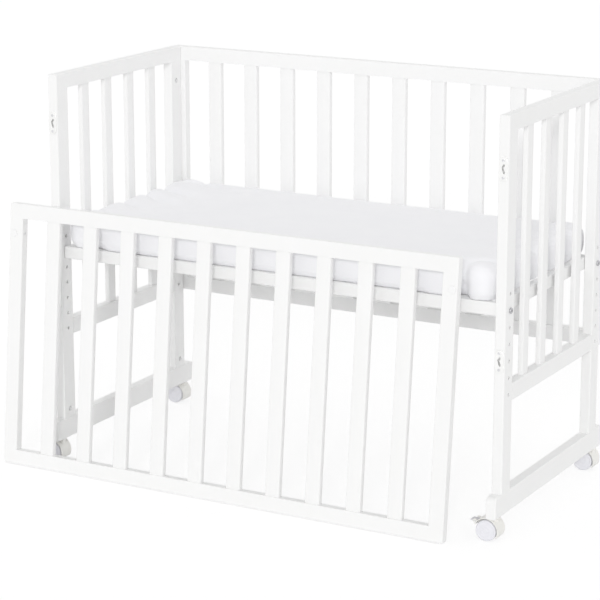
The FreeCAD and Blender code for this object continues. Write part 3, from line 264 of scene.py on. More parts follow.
def crossed_bands(tree, place, pitch):
    """Two sets of waves at right angles, multiplied: light spots one pitch apart both ways."""
    scale = 2 * math.pi / 20 / pitch             # a wave texture turns 20 radians in one unit
    warp, weft = [node(tree, "ShaderNodeTexWave", {"bands_direction": way}, Vector=place,
                       Scale=scale) for way in ("X", "Y")]
    return node(tree, "ShaderNodeMath", {"operation": "MULTIPLY"}, at_0=warp.outputs[1],
                at_1=weft.outputs[1])


def woven_cotton(name):
    """Plain-woven cotton: a matt white cloth with a fine thread grid and a soft nap."""
    thread, patch = 2.4 * MM, 60 * MM            # real threads lie 0.3 mm apart; coarser to show
    light, dark = colour("fcfcfe"), colour("f7f7fa")
    finish, tree = new_finish(name)
    place = node(tree, "ShaderNodeTexCoord")
    cloth = crossed_bands(tree, place.outputs["Object"], thread)
    tone = node(tree, "ShaderNodeTexNoise", Vector=place.outputs["Object"], Scale=1 / patch,
                Detail=3.0)
    shade = node(tree, "ShaderNodeMix", {"data_type": "RGBA"}, Factor=tone.outputs[0],
                 at_6=light, at_7=dark)
    bump = node(tree, "ShaderNodeBump", Height=cloth.outputs[0], Strength=0.2, Distance=0.15 * MM)
    shader = node(tree, "ShaderNodeBsdfPrincipled", Base_Color=shade.outputs[2], Roughness=0.85,
                  Sheen_Weight=0.3, Sheen_Roughness=0.5, IOR=1.45, Normal=bump.outputs[0])
    node(tree, "ShaderNodeOutputMaterial", Surface=shader.outputs[0])
    return finish


def quilted_ticking(name):
    """Polyester ticking: a faintly glossy off-white cloth, quilted into diamonds of 80 mm, with
    shade painted darker along the sunken seams.
    """
    diamond = 80 * MM
    # the seams between the puffs are painted darker, as shade in their hollows; the puffs keep the
    # cloth's own colour
    seam_painted_shade, puff_shade = colour("e6e6e9"), colour("f1f1f4")
    finish, tree = new_finish(name)
    place = node(tree, "ShaderNodeTexCoord")
    turned = node(tree, "ShaderNodeMapping", Vector=place.outputs["Object"],
                  Rotation=(0, 0, math.radians(45)))
    puff = crossed_bands(tree, turned.outputs[0], diamond)
    shade = node(tree, "ShaderNodeMix", {"data_type": "RGBA"}, Factor=puff.outputs[0],
                 at_6=seam_painted_shade, at_7=puff_shade)
    bump = node(tree, "ShaderNodeBump", Height=puff.outputs[0], Strength=0.5, Distance=2 * MM)
    shader = node(tree, "ShaderNodeBsdfPrincipled", Base_Color=shade.outputs[2], Roughness=0.6,
                  IOR=1.45, Normal=bump.outputs[0])
    node(tree, "ShaderNodeOutputMaterial", Surface=shader.outputs[0])
    return finish


cotton = woven_cotton("white_plain_woven_cotton")
ticking = quilted_ticking("white_quilted_polyester_ticking")
bed_low, bed_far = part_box("mattress")
bed_middle = (bed_low + bed_far) / 2
bed_half = (bed_far - bed_low) / 2


def copy_of(name, source):
    """A merged copy of a CAD node, which comes as loose triangles."""
    form = bmesh.new()
    form.from_mesh(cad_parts[source].data)
    bmesh.ops.remove_doubles(form, verts=form.verts, dist=0.01 * MM)
    mesh = bpy.data.meshes.new(name)
    form.to_mesh(mesh)
    form.free()
    mesh.materials.clear()
    return show(name, mesh)


def apply_modifiers(piece):
    """Replace the piece's mesh with what its modifiers make of it."""
    ready = piece.evaluated_get(bpy.context.evaluated_depsgraph_get())
    mesh = bpy.data.meshes.new_from_object(ready)
    piece.modifiers.clear()
    piece.data = mesh


def hump(distance, width):
    """A smooth bump, 1 at no distance and nearly flat past twice the width."""
    return math.exp(-(distance / width) ** 2)


low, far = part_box("left_end_slats")
SLAT_PITCH = ((far.y - low.y) / MM - END_LATH) / (END_LATHS - 1)
FIRST_SLAT = (low.y - bed_middle.y) / MM + END_LATH / 2
# where each pull line starts on the left end, its angle in degrees, its length and its depth, in mm
PULL_LINES = [(FIRST_SLAT + 5, -27, 150, 8), (FIRST_SLAT + SLAT_PITCH + 8, -29, 200, 12),
              (FIRST_SLAT + 2 * SLAT_PITCH + 16, -32, 260, 14),
              (FIRST_SLAT + 3 * SLAT_PITCH + 14, -33, 300, 14),
              (bed_half.y / MM - 24, -17, 320, 11)]
# how far in from each corner the sheet creases, and how deep: front left and right, then the back
CORNER_CREASES = {(-1, -1): (60, 6.0), (1, -1): (68, 13.0), (-1, 1): (70, 4.0), (1, 1): (70, 4.0)}


def pulled(u, v, w, thick):
    """How a point of the sheet moves, in mm.  u, v from the bed's middle, w up from its base."""
    half_u, half_v = bed_half.x / MM, bed_half.y / MM
    u_sign, v_sign = math.copysign(1, u), math.copysign(1, v)
    to_end, to_side = half_u - abs(u), half_v - abs(v)
    upper = min(1.0, max(0.0, (w / thick - 0.35) / 0.4))     # 0 low on the sides, 1 on the top
    out_u = out_v = up = 0.0

    # pressed by each end slat, swelling between them, clear of the corners
    between = 0.5 - 0.5 * math.cos(2 * math.pi * (v - FIRST_SLAT) / SLAT_PITCH)
    corner_clear, reach = 18, 28
    if to_side > corner_clear:
        near_end = math.exp(-max(to_end, 0) / reach)
        out_u += u_sign * (2.6 * between - 0.6) * near_end * min(1.0, w / 20)
        up += (1.2 * between - 0.7) * near_end * upper

    # pull lines that run from the left end towards the front: each wanders, starts shallow, widens
    # and fades along its way, with a soft swell beside it
    for start, angle, long, deep in PULL_LINES:
        slope = math.radians(angle)
        along = (u + half_u) * math.cos(slope) + (v - start) * math.sin(slope)
        aside = -(u + half_u) * math.sin(slope) + (v - start) * math.cos(slope)
        aside += 5 * math.sin(along / 31 + start)
        fade = max(0.0, 1 - max(along, 0) / long) if along > -20 else 0.0
        fade *= 0.12 + 0.88 * min(1.0, max(along, 0) / 50)
        width = 9 + 0.06 * max(along, 0)
        swell = 0.25 * hump(aside + 2.1 * width, 1.4 * width)
        up += fade * upper * deep * (swell - hump(aside, width))
    # three weaker ones from the right end, steeper and a little further back
    steeper, back, weaker = 8, 20, 0.3
    for start, angle, long, deep in PULL_LINES[1:4]:
        slope = math.radians(angle - steeper)
        along = (half_u - u) * math.cos(slope) + (v - start - back) * math.sin(slope)
        aside = -(half_u - u) * math.sin(slope) + (v - start - back) * math.cos(slope)
        fade = max(0.0, 1 - max(along, 0) / long) ** 1.3 if along > -20 else 0.0
        up -= weaker * deep * fade * upper * hump(aside, 11)

    # the corner stands off like a ball, and a crease draws the side in beyond it
    inset, deep = CORNER_CREASES[(u_sign, v_sign)]
    near_side = math.exp(-max(to_side, 0) / 20)
    crease = hump(to_end - inset, 10) * near_side
    out_v -= v_sign * deep * crease * (1.2 - 0.5 * upper)
    up -= 0.5 * deep * crease * upper
    # and below, its elastic draws the edge in and up on both sides of the ball
    drawn = deep * max(0.0, 1 - w / 34)
    out_v -= v_sign * drawn * hump(to_end - inset - 12, 20) * near_side
    out_u -= u_sign * drawn * hump(to_side - 60, 22) * math.exp(-max(to_end, 0) / 20)
    up += 0.9 * drawn * hump(to_end - inset - 10, 14) * near_side
    off_ball = math.hypot(to_end - 0.5 * inset, to_side - 22)
    out_v += v_sign * 0.3 * deep * hump(to_end - 0.5 * inset, 24) * near_side
    up += 0.5 * deep * upper * (hump(off_ball, 20) - 0.9 * hump(off_ball - 36, 8))

    # the back left corner rides up, the back edge sinks a little
    up += 5 * upper * hump(to_end, 60) * hump(to_side, 60) * (1 if u < 0 < v else 0)
    up -= 3.5 * upper * math.exp(-max(to_side, 0) / 25) * (1 if v > 0 else 0) * min(1, to_end / 60)
    # the foam's own gentle unevenness, broad and fine
    up += upper * (1.2 * noise.noise(Vector((u / 130, v / 90, 1.7)))
                   + 0.5 * noise.noise(Vector((u / 45, v / 30, 4.2))))
    return Vector((out_u, out_v, up))


def make_mattress():
    """Press the sheet's folds into a remeshed foam block, then swell it as cloth under pressure."""
    voxel, shrink, most_swell, pressure, frames = 5.5 * MM, 2 * MM, 4 * MM, 4, 20
    mattress = copy_of("mattress_in_fitted_sheet", "mattress")
    remesh = mattress.modifiers.new("remesh", "REMESH")
    remesh.mode, remesh.voxel_size = "VOXEL", voxel
    apply_modifiers(mattress)
    thick = 2 * bed_half.z / MM
    normals = [vertex.normal.copy() for vertex in mattress.data.vertices]
    for vertex, normal in zip(mattress.data.vertices, normals):
        spot = (vertex.co - bed_middle) / MM
        vertex.co += pulled(spot.x, spot.y, spot.z + thick / 2, thick) * MM - normal * shrink
    cloth = mattress.modifiers.new("cloth", "CLOTH")
    cloth.settings.use_pressure = True
    cloth.settings.uniform_pressure_force = pressure
    cloth.settings.effector_weights.gravity = 0
    for number in range(1, frames + 1):
        bpy.context.scene.frame_set(number)
    ready = mattress.evaluated_get(bpy.context.evaluated_depsgraph_get())
    swollen = [vertex.co.copy() for vertex in ready.data.vertices]
    mattress.modifiers.clear()
    for vertex, moved in zip(mattress.data.vertices, swollen):
        change = moved - vertex.co
        if change.length > most_swell:
            change.length = most_swell
        vertex.co += change
    bpy.context.scene.frame_set(1)

    # underneath, the sheet's edge runs round as a ruffled border and the ticking lies bare within
    border, cloth_thick, near, gathers, gather_high = 48 * MM, 1.2 * MM, 6 * MM, 90, 0.5 * MM
    bare = set()
    for vertex in mattress.data.vertices:
        spot = vertex.co - bed_middle
        in_from_edge = min(bed_half.x - abs(spot.x), bed_half.y - abs(spot.y))
        ruffle = 5 * MM * math.sin((spot.x + spot.y) / (9 * MM))
        ruffle += 4 * MM * noise.noise(vertex.co * 30)
        vertex.co.z = max(vertex.co.z, bed_low.z)
        if vertex.co.z < bed_low.z + near and in_from_edge > border + ruffle:
            vertex.co.z = bed_low.z + cloth_thick
            bare.add(vertex.index)
        elif vertex.co.z < bed_low.z + near and in_from_edge > near:
            # the gathers that the elastic draws into the border
            gather = 0.5 - 0.5 * math.cos(math.atan2(spot.y * 2, spot.x) * gathers)
            vertex.co.z = bed_low.z + gather_high * gather * in_from_edge / border
    smooth = mattress.modifiers.new("smooth", "SUBSURF")
    smooth.levels = smooth.render_levels = 1
    mattress.data.materials.append(cotton)
    mattress.data.materials.append(ticking)
    for face in mattress.data.polygons:
        face.use_smooth = True
        face.material_index = 1 if all(corner in bare for corner in face.vertices) else 0
    apply_modifiers(mattress)
    return mattress


mattress = stand_in_for(make_mattress(), "mattress", "mattress")


def seam_tree():
    """A stitched seam along a line: a slim welt with a row of stitches lying across it."""
    tree = bpy.data.node_groups.new("stitched_seam", "GeometryNodeTree")
    for name, kind in (("Line", "Geometry"), ("Welt radius", "Float"), ("Stitch length", "Float"),
                       ("Stitch spacing", "Float"), ("Thread radius", "Float"),
                       ("Finish", "Material")):
        tree.interface.new_socket(name, in_out="INPUT", socket_type=f"NodeSocket{kind}")
    tree.interface.new_socket("Seam", in_out="OUTPUT", socket_type="NodeSocketGeometry")
    given = node(tree, "NodeGroupInput").outputs
    line = node(tree, "GeometryNodeMeshToCurve", Mesh=given["Line"])
    welt_section = node(tree, "GeometryNodeCurvePrimitiveCircle", Resolution=8,
                        Radius=given["Welt radius"])
    welt = node(tree, "GeometryNodeCurveToMesh", Curve=line.outputs[0],
                Profile_Curve=welt_section.outputs[0], Fill_Caps=True)
    stops = node(tree, "GeometryNodeCurveToPoints", {"mode": "LENGTH"}, Curve=line.outputs[0],
                 Length=given["Stitch spacing"])
    half = node(tree, "ShaderNodeMath", {"operation": "MULTIPLY"}, at_0=given["Stitch length"],
                at_1=0.5)
    stitch = node(tree, "GeometryNodeMeshUVSphere", Segments=8, Rings=6,
                  Radius=given["Thread radius"])
    ratio = node(tree, "ShaderNodeMath", {"operation": "DIVIDE"}, at_0=half.outputs[0],
                 at_1=given["Thread radius"])
    stretch = node(tree, "ShaderNodeCombineXYZ", X=ratio.outputs[0], Y=1.0, Z=1.0)
    long_stitch = node(tree, "GeometryNodeTransform", Geometry=stitch.outputs[0],
                       Scale=stretch.outputs[0])
    row = node(tree, "GeometryNodeInstanceOnPoints", Points=stops.outputs[0],
               Instance=long_stitch.outputs[0], Rotation=stops.outputs["Rotation"])
    both = node(tree, "GeometryNodeJoinGeometry")
    tree.links.new(welt.outputs[0], both.inputs[0])
    tree.links.new(row.outputs[0], both.inputs[0])
    real = node(tree, "GeometryNodeRealizeInstances", Geometry=both.outputs[0])
    done = node(tree, "GeometryNodeSetMaterial", Geometry=real.outputs[0], Material=given["Finish"])
    node(tree, "NodeGroupOutput", Seam=done.outputs[0])
    return tree


SEAM_TREE = seam_tree()
SEAM_START, SEAM_STEP, SEAM_POINTS = 7, 2.8, 17  # mm up from the underside
WELT_SUNK, OUTSIDE = 0.35, 30                    # mm, the welt's sink and where the rays start
surface = bvhtree.BVHTree.FromObject(mattress, bpy.context.evaluated_depsgraph_get())
for number, (u_sign, v_sign) in enumerate(sorted(CORNER_CREASES), start=1):
    toward = Vector((-u_sign, -v_sign, 0)).normalized()
    corner = bed_middle + Vector((u_sign * bed_half.x, v_sign * bed_half.y, 0))
    line = []
    for step in range(SEAM_POINTS):
        height = bed_low.z + (SEAM_START + SEAM_STEP * step) * MM
        start = Vector((corner.x, corner.y, height)) - toward * OUTSIDE * MM
        line.append(surface.ray_cast(start, toward)[0] + toward * WELT_SUNK * MM)
    seam = grow(f"fitted_sheet_corner_seam_{number}", SEAM_TREE,
                {"Welt radius": 0.7 * MM, "Stitch length": 2.6 * MM, "Stitch spacing": 3.4 * MM,
                 "Thread radius": 0.28 * MM, "Finish": cotton}, points=line, joined=True)
    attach(seam, "mattress")

# ---------------------------------------------------------------------------
# Hook plates.  Pressed steel, zinc plated, each with a bent slot for one of the front panel's pins.
# Two screws with domed heads and crossed recesses hold each plate on its leg.
# ---------------------------------------------------------------------------


def plated_steel(name, shade, rough):
    """Zinc or nickel plate over steel: grey, slightly mottled, with a soft shine."""
    mottle, rough_spread = 3 * MM, 0.08
    finish, tree = new_finish(name)
    place = node(tree, "ShaderNodeTexCoord")
    spangle = node(tree, "ShaderNodeTexNoise", Vector=place.outputs["Object"], Scale=1 / mottle,
                   Detail=2.0)
    sheen = node(tree, "ShaderNodeMapRange", Value=spangle.outputs[0],
                 To_Min=rough - rough_spread, To_Max=rough + rough_spread)
    bump = node(tree, "ShaderNodeBump", Height=spangle.outputs[0], Strength=0.1,
                Distance=0.05 * MM)
    shader = node(tree, "ShaderNodeBsdfPrincipled", Base_Color=colour(shade), Metallic=1.0,
                  Roughness=sheen.outputs[0], Normal=bump.outputs[0])
    node(tree, "ShaderNodeOutputMaterial", Surface=shader.outputs[0])
    return finish


zinc = plated_steel("zinc_plated_pressed_steel", "fafaf9", 0.42)
bright = plated_steel("zinc_plated_turned_steel", "e6e6e8", 0.32)
nickel = plated_steel("nickel_plated_steel", "c4c4c7", 0.4)


def softened(name, source, finish, voxel, passes):
    """A remeshed copy of a CAD node with its sharp edges eased, as a mould or press leaves them."""
    piece = copy_of(name, source)
    remesh = piece.modifiers.new("remesh", "REMESH")
    remesh.mode, remesh.voxel_size = "VOXEL", voxel * MM
    ease = piece.modifiers.new("ease", "SMOOTH")
    ease.factor, ease.iterations = 0.5, passes
    apply_modifiers(piece)
    piece.data.materials.append(finish)
    for face in piece.data.polygons:
        face.use_smooth = True
    return piece


stand_in_for(softened("hook_plates_pressed", "hook_plates", zinc, voxel=0.35, passes=3), "frame",
             "hook_plates")


def driven_fastener_tree():
    """A domed head on a shank, its driver recess cut by crossed blades, set at every place."""
    tree = bpy.data.node_groups.new("driven_fastener", "GeometryNodeTree")
    for name, kind in (("Places", "Geometry"), ("Head radius", "Float"), ("Head height", "Float"),
                       ("Shank radius", "Float"), ("Shank length", "Float"), ("Blades", "Int"),
                       ("Blade width", "Float"), ("Blade length", "Float"),
                       ("Recess depth", "Float"), ("Finish", "Material")):
        tree.interface.new_socket(name, in_out="INPUT", socket_type=f"NodeSocket{kind}")
    tree.interface.new_socket("Fasteners", in_out="OUTPUT", socket_type="NodeSocketGeometry")
    given = node(tree, "NodeGroupInput").outputs
    blank = node(tree, "GeometryNodeMeshCylinder", Vertices=24, Side_Segments=3, Fill_Segments=3,
                 Radius=given["Head radius"], Depth=given["Head height"])
    domed = node(tree, "GeometryNodeSubdivisionSurface", Mesh=blank.outputs[0], Level=1)
    half = node(tree, "ShaderNodeMath", {"operation": "MULTIPLY"}, at_0=given["Head height"],
                at_1=0.5)
    lift = node(tree, "ShaderNodeCombineXYZ", Z=half.outputs[0])
    head = node(tree, "GeometryNodeTransform", Geometry=domed.outputs[0],
                Translation=lift.outputs[0])
    twice = node(tree, "ShaderNodeMath", {"operation": "MULTIPLY"}, at_0=given["Recess depth"],
                 at_1=2.0)
    blade_size = node(tree, "ShaderNodeCombineXYZ", X=given["Blade width"],
                      Y=given["Blade length"], Z=twice.outputs[0])
    blade = node(tree, "GeometryNodeMeshCube", Size=blade_size.outputs[0])
    spots = node(tree, "GeometryNodeMeshLine", Count=given["Blades"], Offset=(0, 0, 0))
    index = node(tree, "GeometryNodeInputIndex")
    share = node(tree, "ShaderNodeMath", {"operation": "DIVIDE"}, at_0=index.outputs[0],
                 at_1=given["Blades"])
    angle = node(tree, "ShaderNodeMath", {"operation": "MULTIPLY"}, at_0=share.outputs[0],
                 at_1=math.pi)
    spin = node(tree, "ShaderNodeCombineXYZ", Z=angle.outputs[0])
    star = node(tree, "GeometryNodeInstanceOnPoints", Points=spots.outputs[0],
                Instance=blade.outputs[0], Rotation=spin.outputs[0])
    star = node(tree, "GeometryNodeRealizeInstances", Geometry=star.outputs[0])
    top = node(tree, "ShaderNodeCombineXYZ", Z=given["Head height"])
    cutter = node(tree, "GeometryNodeTransform", Geometry=star.outputs[0],
                  Translation=top.outputs[0])
    recessed = node(tree, "GeometryNodeMeshBoolean", {"operation": "DIFFERENCE", "solver": "EXACT"},
                    Mesh_1=head.outputs[0], Mesh_2=cutter.outputs[0], Self_Intersection=True)
    shank = node(tree, "GeometryNodeMeshCylinder", Vertices=16, Radius=given["Shank radius"],
                 Depth=given["Shank length"])
    sunk = node(tree, "ShaderNodeMath", {"operation": "MULTIPLY"}, at_0=given["Shank length"],
                at_1=-0.5)
    down = node(tree, "ShaderNodeCombineXYZ", Z=sunk.outputs[0])
    shank = node(tree, "GeometryNodeTransform", Geometry=shank.outputs[0],
                 Translation=down.outputs[0])
    both = node(tree, "GeometryNodeJoinGeometry")
    tree.links.new(recessed.outputs[0], both.inputs[0])
    tree.links.new(shank.outputs[0], both.inputs[0])
    facing = node(tree, "GeometryNodeInputNamedAttribute", {"data_type": "FLOAT_VECTOR"},
                  Name="facing")
    turn = node(tree, "FunctionNodeAlignRotationToVector", {"axis": "Z"},
                Vector=facing.outputs[0])
    row = node(tree, "GeometryNodeInstanceOnPoints", Points=given["Places"],
               Instance=both.outputs[0], Rotation=turn.outputs[0])
    real = node(tree, "GeometryNodeRealizeInstances", Geometry=row.outputs[0])
    done = node(tree, "GeometryNodeSetMaterial", Geometry=real.outputs[0], Material=given["Finish"])
    node(tree, "NodeGroupOutput", Fasteners=done.outputs[0])
    return tree


FASTENER_TREE = driven_fastener_tree()


def smooth_by_angle(mesh, sharpest=35):
    """Smooth faces, with the edges sharper than the angle left crisp."""
    form = bmesh.new()
    form.from_mesh(mesh)
    for face in form.faces:
        face.smooth = True
    for edge in form.edges:
        edge.smooth = len(edge.link_faces) == 2 and edge.calc_face_angle(0) < math.radians(sharpest)
    form.to_mesh(mesh)
    form.free()


def fasteners(nodes, body, finish, places, facing, head, shank, recess, turn=Matrix()):
    """Set a row of fasteners in place of a node, heads seated at the places, sizes in mm.

    head is its radius and height, shank its radius and length, and recess the number of crossed
    blades that cut it, their width, their length and how deep they go.
    """
    row = grow(f"{nodes}_driven", FASTENER_TREE,
               {"Head radius": head[0] * MM, "Head height": head[1] * MM,
                "Shank radius": shank[0] * MM, "Shank length": shank[1] * MM,
                "Blades": recess[0], "Blade width": recess[1] * MM, "Blade length": recess[2] * MM,
                "Recess depth": recess[3] * MM, "Finish": finish}, turn,
               points=places, facing=facing)
    smooth_by_angle(row.data)
    return stand_in_for(row, body, nodes)


LEGS = {(side, end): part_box(f"{side}_{end}_leg") for side in SIDES for end in ENDS}
LEG_MIDDLES = {which: (low + far) / 2 for which, (low, far) in LEGS.items()}
FORWARD, BACKWARD, DOWNWARD = (0, -1, 0), (0, 1, 0), (0, 0, -1)
CROSS = (2, 0.6, 2.8, 0.6)
# mm, the heights of the plates' middles, and each screw from the middle of its plate
PLATE_MIDDLES, SCREW_OFFSET = (681, 335), 15.3
plate_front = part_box("hook_plates")[0].y
screw_places = [Vector((LEG_MIDDLES[side, "front"].x, plate_front,
                        (middle + step * SCREW_OFFSET) * MM))
                for side in SIDES for middle in PLATE_MIDDLES for step in (-1, 1)]
fasteners("plate_screws", "frame", bright, screw_places,
          [FORWARD] * len(screw_places), head=(2.6, 1.2), shank=(1.5, 15.5), recess=CROSS)

# ---------------------------------------------------------------------------
# Furniture bolts.  Nickel-plated steel with a domed head and a hexagon socket: four carry the base
# at the height chosen, four hold the back panel.  The feet's bolts are zinc plated and sit in
# counterbores underneath.
# ---------------------------------------------------------------------------
BOLT_HEAD, BOLT_RADIUS = (5.5, 3), 3             # mm, a head's radius and height; the shank's radius
HEXAGON = (3, 2.5, 4.33, 2.0)
HOLE_INSET = 20                                  # mm, the height holes from each leg's outer edge
low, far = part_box("base_bolts")
base_height = (low.z + far.z) / 2
bolt_places, bolt_facing = [], []
for (side, end), (low, far) in LEGS.items():
    outer = low.x if side == "left" else far.x
    across = low.y + HOLE_INSET * MM if end == "front" else far.y - HOLE_INSET * MM
    bolt_places.append(Vector((outer, across, base_height)))
    bolt_facing.append((-1 if side == "left" else 1, 0, 0))
fasteners("base_bolts", "frame", nickel, bolt_places, bolt_facing,
          head=BOLT_HEAD, shank=(BOLT_RADIUS, 51.5), recess=HEXAGON)

low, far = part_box("back_panel_bolts")
heights = [low.z + BOLT_HEAD[0] * MM, far.z - BOLT_HEAD[0] * MM]
bolt_places = [Vector((LEG_MIDDLES[side, "rear"].x, far.y - BOLT_HEAD[1] * MM, height))
               for side in SIDES for height in heights]
fasteners("back_panel_bolts", "frame", nickel, bolt_places,
          [BACKWARD] * len(bolt_places), head=BOLT_HEAD, shank=(BOLT_RADIUS, 42), recess=HEXAGON)

foot_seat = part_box("foot_bolts")[0].z + BOLT_HEAD[1] * MM
bolt_places = [Vector((middle.x, middle.y, foot_seat)) for middle in LEG_MIDDLES.values()]
fasteners("foot_bolts", "frame", bright, bolt_places,
          [DOWNWARD] * len(bolt_places), head=BOLT_HEAD, shank=(BOLT_RADIUS, 55), recess=HEXAGON)
paint(["panel_hook_pins", "barrel_nuts", "caster_stems"], bright)

# ---------------------------------------------------------------------------
# Caps and grub screws of the front panel.  A white nylon cap hides each upper hook pin from the
# front; a slotted grub screw in the stile's inner edge locks the pin.
# ---------------------------------------------------------------------------


def moulded_plastic(name, shade, rough):
    """Injection-moulded nylon: a fine spark texture and a soft shine."""
    spark_size, rough_spread = 0.8 * MM, 0.05
    finish, tree = new_finish(name)
    place = node(tree, "ShaderNodeTexCoord")
    spark = node(tree, "ShaderNodeTexNoise", Vector=place.outputs["Object"], Scale=1 / spark_size,
                 Detail=1.0)
    sheen = node(tree, "ShaderNodeMapRange", Value=spark.outputs[0], To_Min=rough - rough_spread,
                 To_Max=rough + rough_spread)
    bump = node(tree, "ShaderNodeBump", Height=spark.outputs[0], Strength=0.1, Distance=0.05 * MM)
    shader = node(tree, "ShaderNodeBsdfPrincipled", Base_Color=colour(shade), IOR=1.5,
                  Roughness=sheen.outputs[0], Normal=bump.outputs[0])
    node(tree, "ShaderNodeOutputMaterial", Surface=shader.outputs[0])
    return finish


white_nylon = moulded_plastic("moulded_white_nylon", "f8f8f8", 0.38)
PIN_DROP, PIN_INSET = 59, 10                     # mm, a pin from the panel's top and from its end
LOCK_SUNK = 4                                    # mm, a grub screw's head from the stile's edge
pin_height = PANEL_HIGH - PIN_DROP
NO_RECESS, SLOTTED = (0, 1, 1, 0.5), (1, 0.7, 5, 1.2)
pin_places = [Vector((x, 0, pin_height)) * MM for x in (PIN_INSET, PANEL_LONG - PIN_INSET)]
fasteners("panel_caps", "front_panel", white_nylon, pin_places,
          [FORWARD] * len(pin_places), head=(7.5, 2.1), shank=(3.1, 0.4), recess=NO_RECESS,
          turn=LEANING)
lock_places = [Vector((x, PANEL_THICK / 2, pin_height)) * MM
               for x in (STILE - LOCK_SUNK, PANEL_LONG - STILE + LOCK_SUNK)]
fasteners("panel_lock_screws", "front_panel", bright, lock_places,
          [(1, 0, 0), (-1, 0, 0)], head=(2.2, 4), shank=(1.8, 6), recess=SLOTTED, turn=LEANING)

# ---------------------------------------------------------------------------
# Casters.  Moulded nylon housings over twin wheels, each wheel free on a steel axle; the front two
# have a brake lever on a pin between two ears.  Steel stems push up into the feet.
# ---------------------------------------------------------------------------
hood_nylon = moulded_plastic("moulded_ivory_nylon", "f6f5f1", 0.4)
wheel_nylon = moulded_plastic("moulded_pale_lilac_nylon", "f0f0f5", 0.34)
lever_nylon = moulded_plastic("moulded_pale_grey_nylon", "dcdce0", 0.42)
WHEEL_STEPS, WHEEL_SHARPEST = 48, 50             # facets round a wheel; degrees of its crisp edges
# radius and distance from the inner face, mm, from the bore round the tread to the domed cap
WHEEL_PROFILE = [(0, 9.6), (2.6, 9.6), (2.6, 0.6), (3.2, 0), (16.6, 0), (18.2, 0.25), (19.4, 1.1),
                 (19.9, 2.6), (20, 5.5), (19.9, 8.4), (19.4, 9.9), (18.2, 10.75), (17.2, 11),
                 (16.7, 10.9), (16.3, 10.3), (15.6, 10.1), (13.5, 10.35), (9.5, 10.7),
                 (6.4, 10.85), (6.0, 10.55), (5.5, 10.6), (3, 10.9), (0, 11)]


def turned_wheel(name, centre, outward):
    """A wheel turned about its axle from the profile, outward along Y."""
    form = bmesh.new()
    angles = [2 * math.pi * step / WHEEL_STEPS for step in range(WHEEL_STEPS)]
    rings = []
    for radius, across in WHEEL_PROFILE:
        points = [centre + Vector((radius * math.cos(angle), outward * across,
                                   radius * math.sin(angle))) * MM
                  for angle in (angles if radius else angles[:1])]
        rings.append([form.verts.new(point) for point in points])
    for inner, outer in zip(rings, rings[1:]):
        for step in range(WHEEL_STEPS):
            after = (step + 1) % WHEEL_STEPS
            corners = [inner[step % len(inner)], inner[after % len(inner)],
                       outer[after % len(outer)], outer[step % len(outer)]]
            form.faces.new(list(dict.fromkeys(corners)))
    bmesh.ops.recalc_face_normals(form, faces=form.faces)
    mesh = bpy.data.meshes.new(name)
    form.to_mesh(mesh)
    form.free()
    smooth_by_angle(mesh, WHEEL_SHARPEST)
    mesh.materials.append(wheel_nylon)
    return show(name, mesh)


for side in SIDES:
    for end in ENDS:
        caster = f"{side}_{end}_caster"
        name = f"{caster}_hood"
        hood = softened(f"{name}_moulded", name, hood_nylon, voxel=0.55, passes=4)
        stand_in_for(hood, caster, name)
        for place, outward in (("front", -1), ("rear", 1)):
            wheel = f"{side}_{end}_wheel_{place}"
            low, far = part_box(wheel)
            middle = (low + far) / 2
            inner = Vector((middle.x, far.y if outward < 0 else low.y, middle.z))
            stand_in_for(turned_wheel(f"{wheel}_turned", inner, outward), wheel,
                         wheel)
    name = f"{side}_front_brake_lever"
    lever = softened(f"{name}_moulded", name, lever_nylon, voxel=0.35, passes=5)
    stand_in_for(lever, name, name)
paint([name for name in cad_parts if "_axle" in name or "brake_pin" in name], bright)

# ---------------------------------------------------------------------------
# Dowels.  Beech pegs, turned and left bare, glued and hidden inside every joint of the frames and
# panels.
# ---------------------------------------------------------------------------


def bare_beech(name):
    """Bare beech: pale pinkish brown with short darker flecks along the grain."""
    fleck_wide, fleck_long = 1.2 * MM, 14 * MM
    dark, light = colour("c9a079"), colour("e2c39c")
    finish, tree = new_finish(name)
    place = node(tree, "ShaderNodeTexCoord")
    stretched = node(tree, "ShaderNodeMapping", Vector=place.outputs["Object"],
                     Scale=(1 / fleck_wide, 1 / fleck_wide, 1 / fleck_long))
    fleck = node(tree, "ShaderNodeTexNoise", Vector=stretched.outputs[0], Scale=1.0, Detail=4.0)
    shade = node(tree, "ShaderNodeMix", {"data_type": "RGBA"}, Factor=fleck.outputs[0],
                 at_6=dark, at_7=light)
    bump = node(tree, "ShaderNodeBump", Height=fleck.outputs[0], Strength=0.3,
                Distance=0.1 * MM)
    shader = node(tree, "ShaderNodeBsdfPrincipled", Base_Color=shade.outputs[2], Roughness=0.6,
                  IOR=1.5, Normal=bump.outputs[0])
    node(tree, "ShaderNodeOutputMaterial", Surface=shader.outputs[0])
    return finish


paint(["frame_dowels", "front_panel_dowels"], bare_beech("bare_turned_beech"))

# ---------------------------------------------------------------------------
# Floor, light and camera.  A white studio sweep, a soft key from just left of the camera and above
# it, and even light from all round, a little less of it from straight above.
# ---------------------------------------------------------------------------
FLOOR_REACH, CAMERA_REACH = 40, 100              # metres, past all that the camera sees
GLOW_SHARE, GLOW_STRENGTH = 0.72, 1.08           # keep the paper white but let it hold the shadow
SKY_LOW, SKY_HIGH = 0.86, 0.74                   # strength at the horizon and straight above
KEY_ENERGY, KEY_SPREAD, KEY_WAY = 0.68, math.radians(8), Vector((-0.33, 0.88, -0.31))


def seen_directly(tree):
    """1 for the rays that look at a surface, straight, mirrored or through glass, else 0."""
    ray = node(tree, "ShaderNodeLightPath")
    seen = node(tree, "ShaderNodeMath", {"operation": "MAXIMUM"},
                at_0=ray.outputs["Is Camera Ray"], at_1=ray.outputs["Is Glossy Ray"])
    return node(tree, "ShaderNodeMath", {"operation": "MAXIMUM"}, at_0=seen.outputs[0],
                at_1=ray.outputs["Is Transmission Ray"])


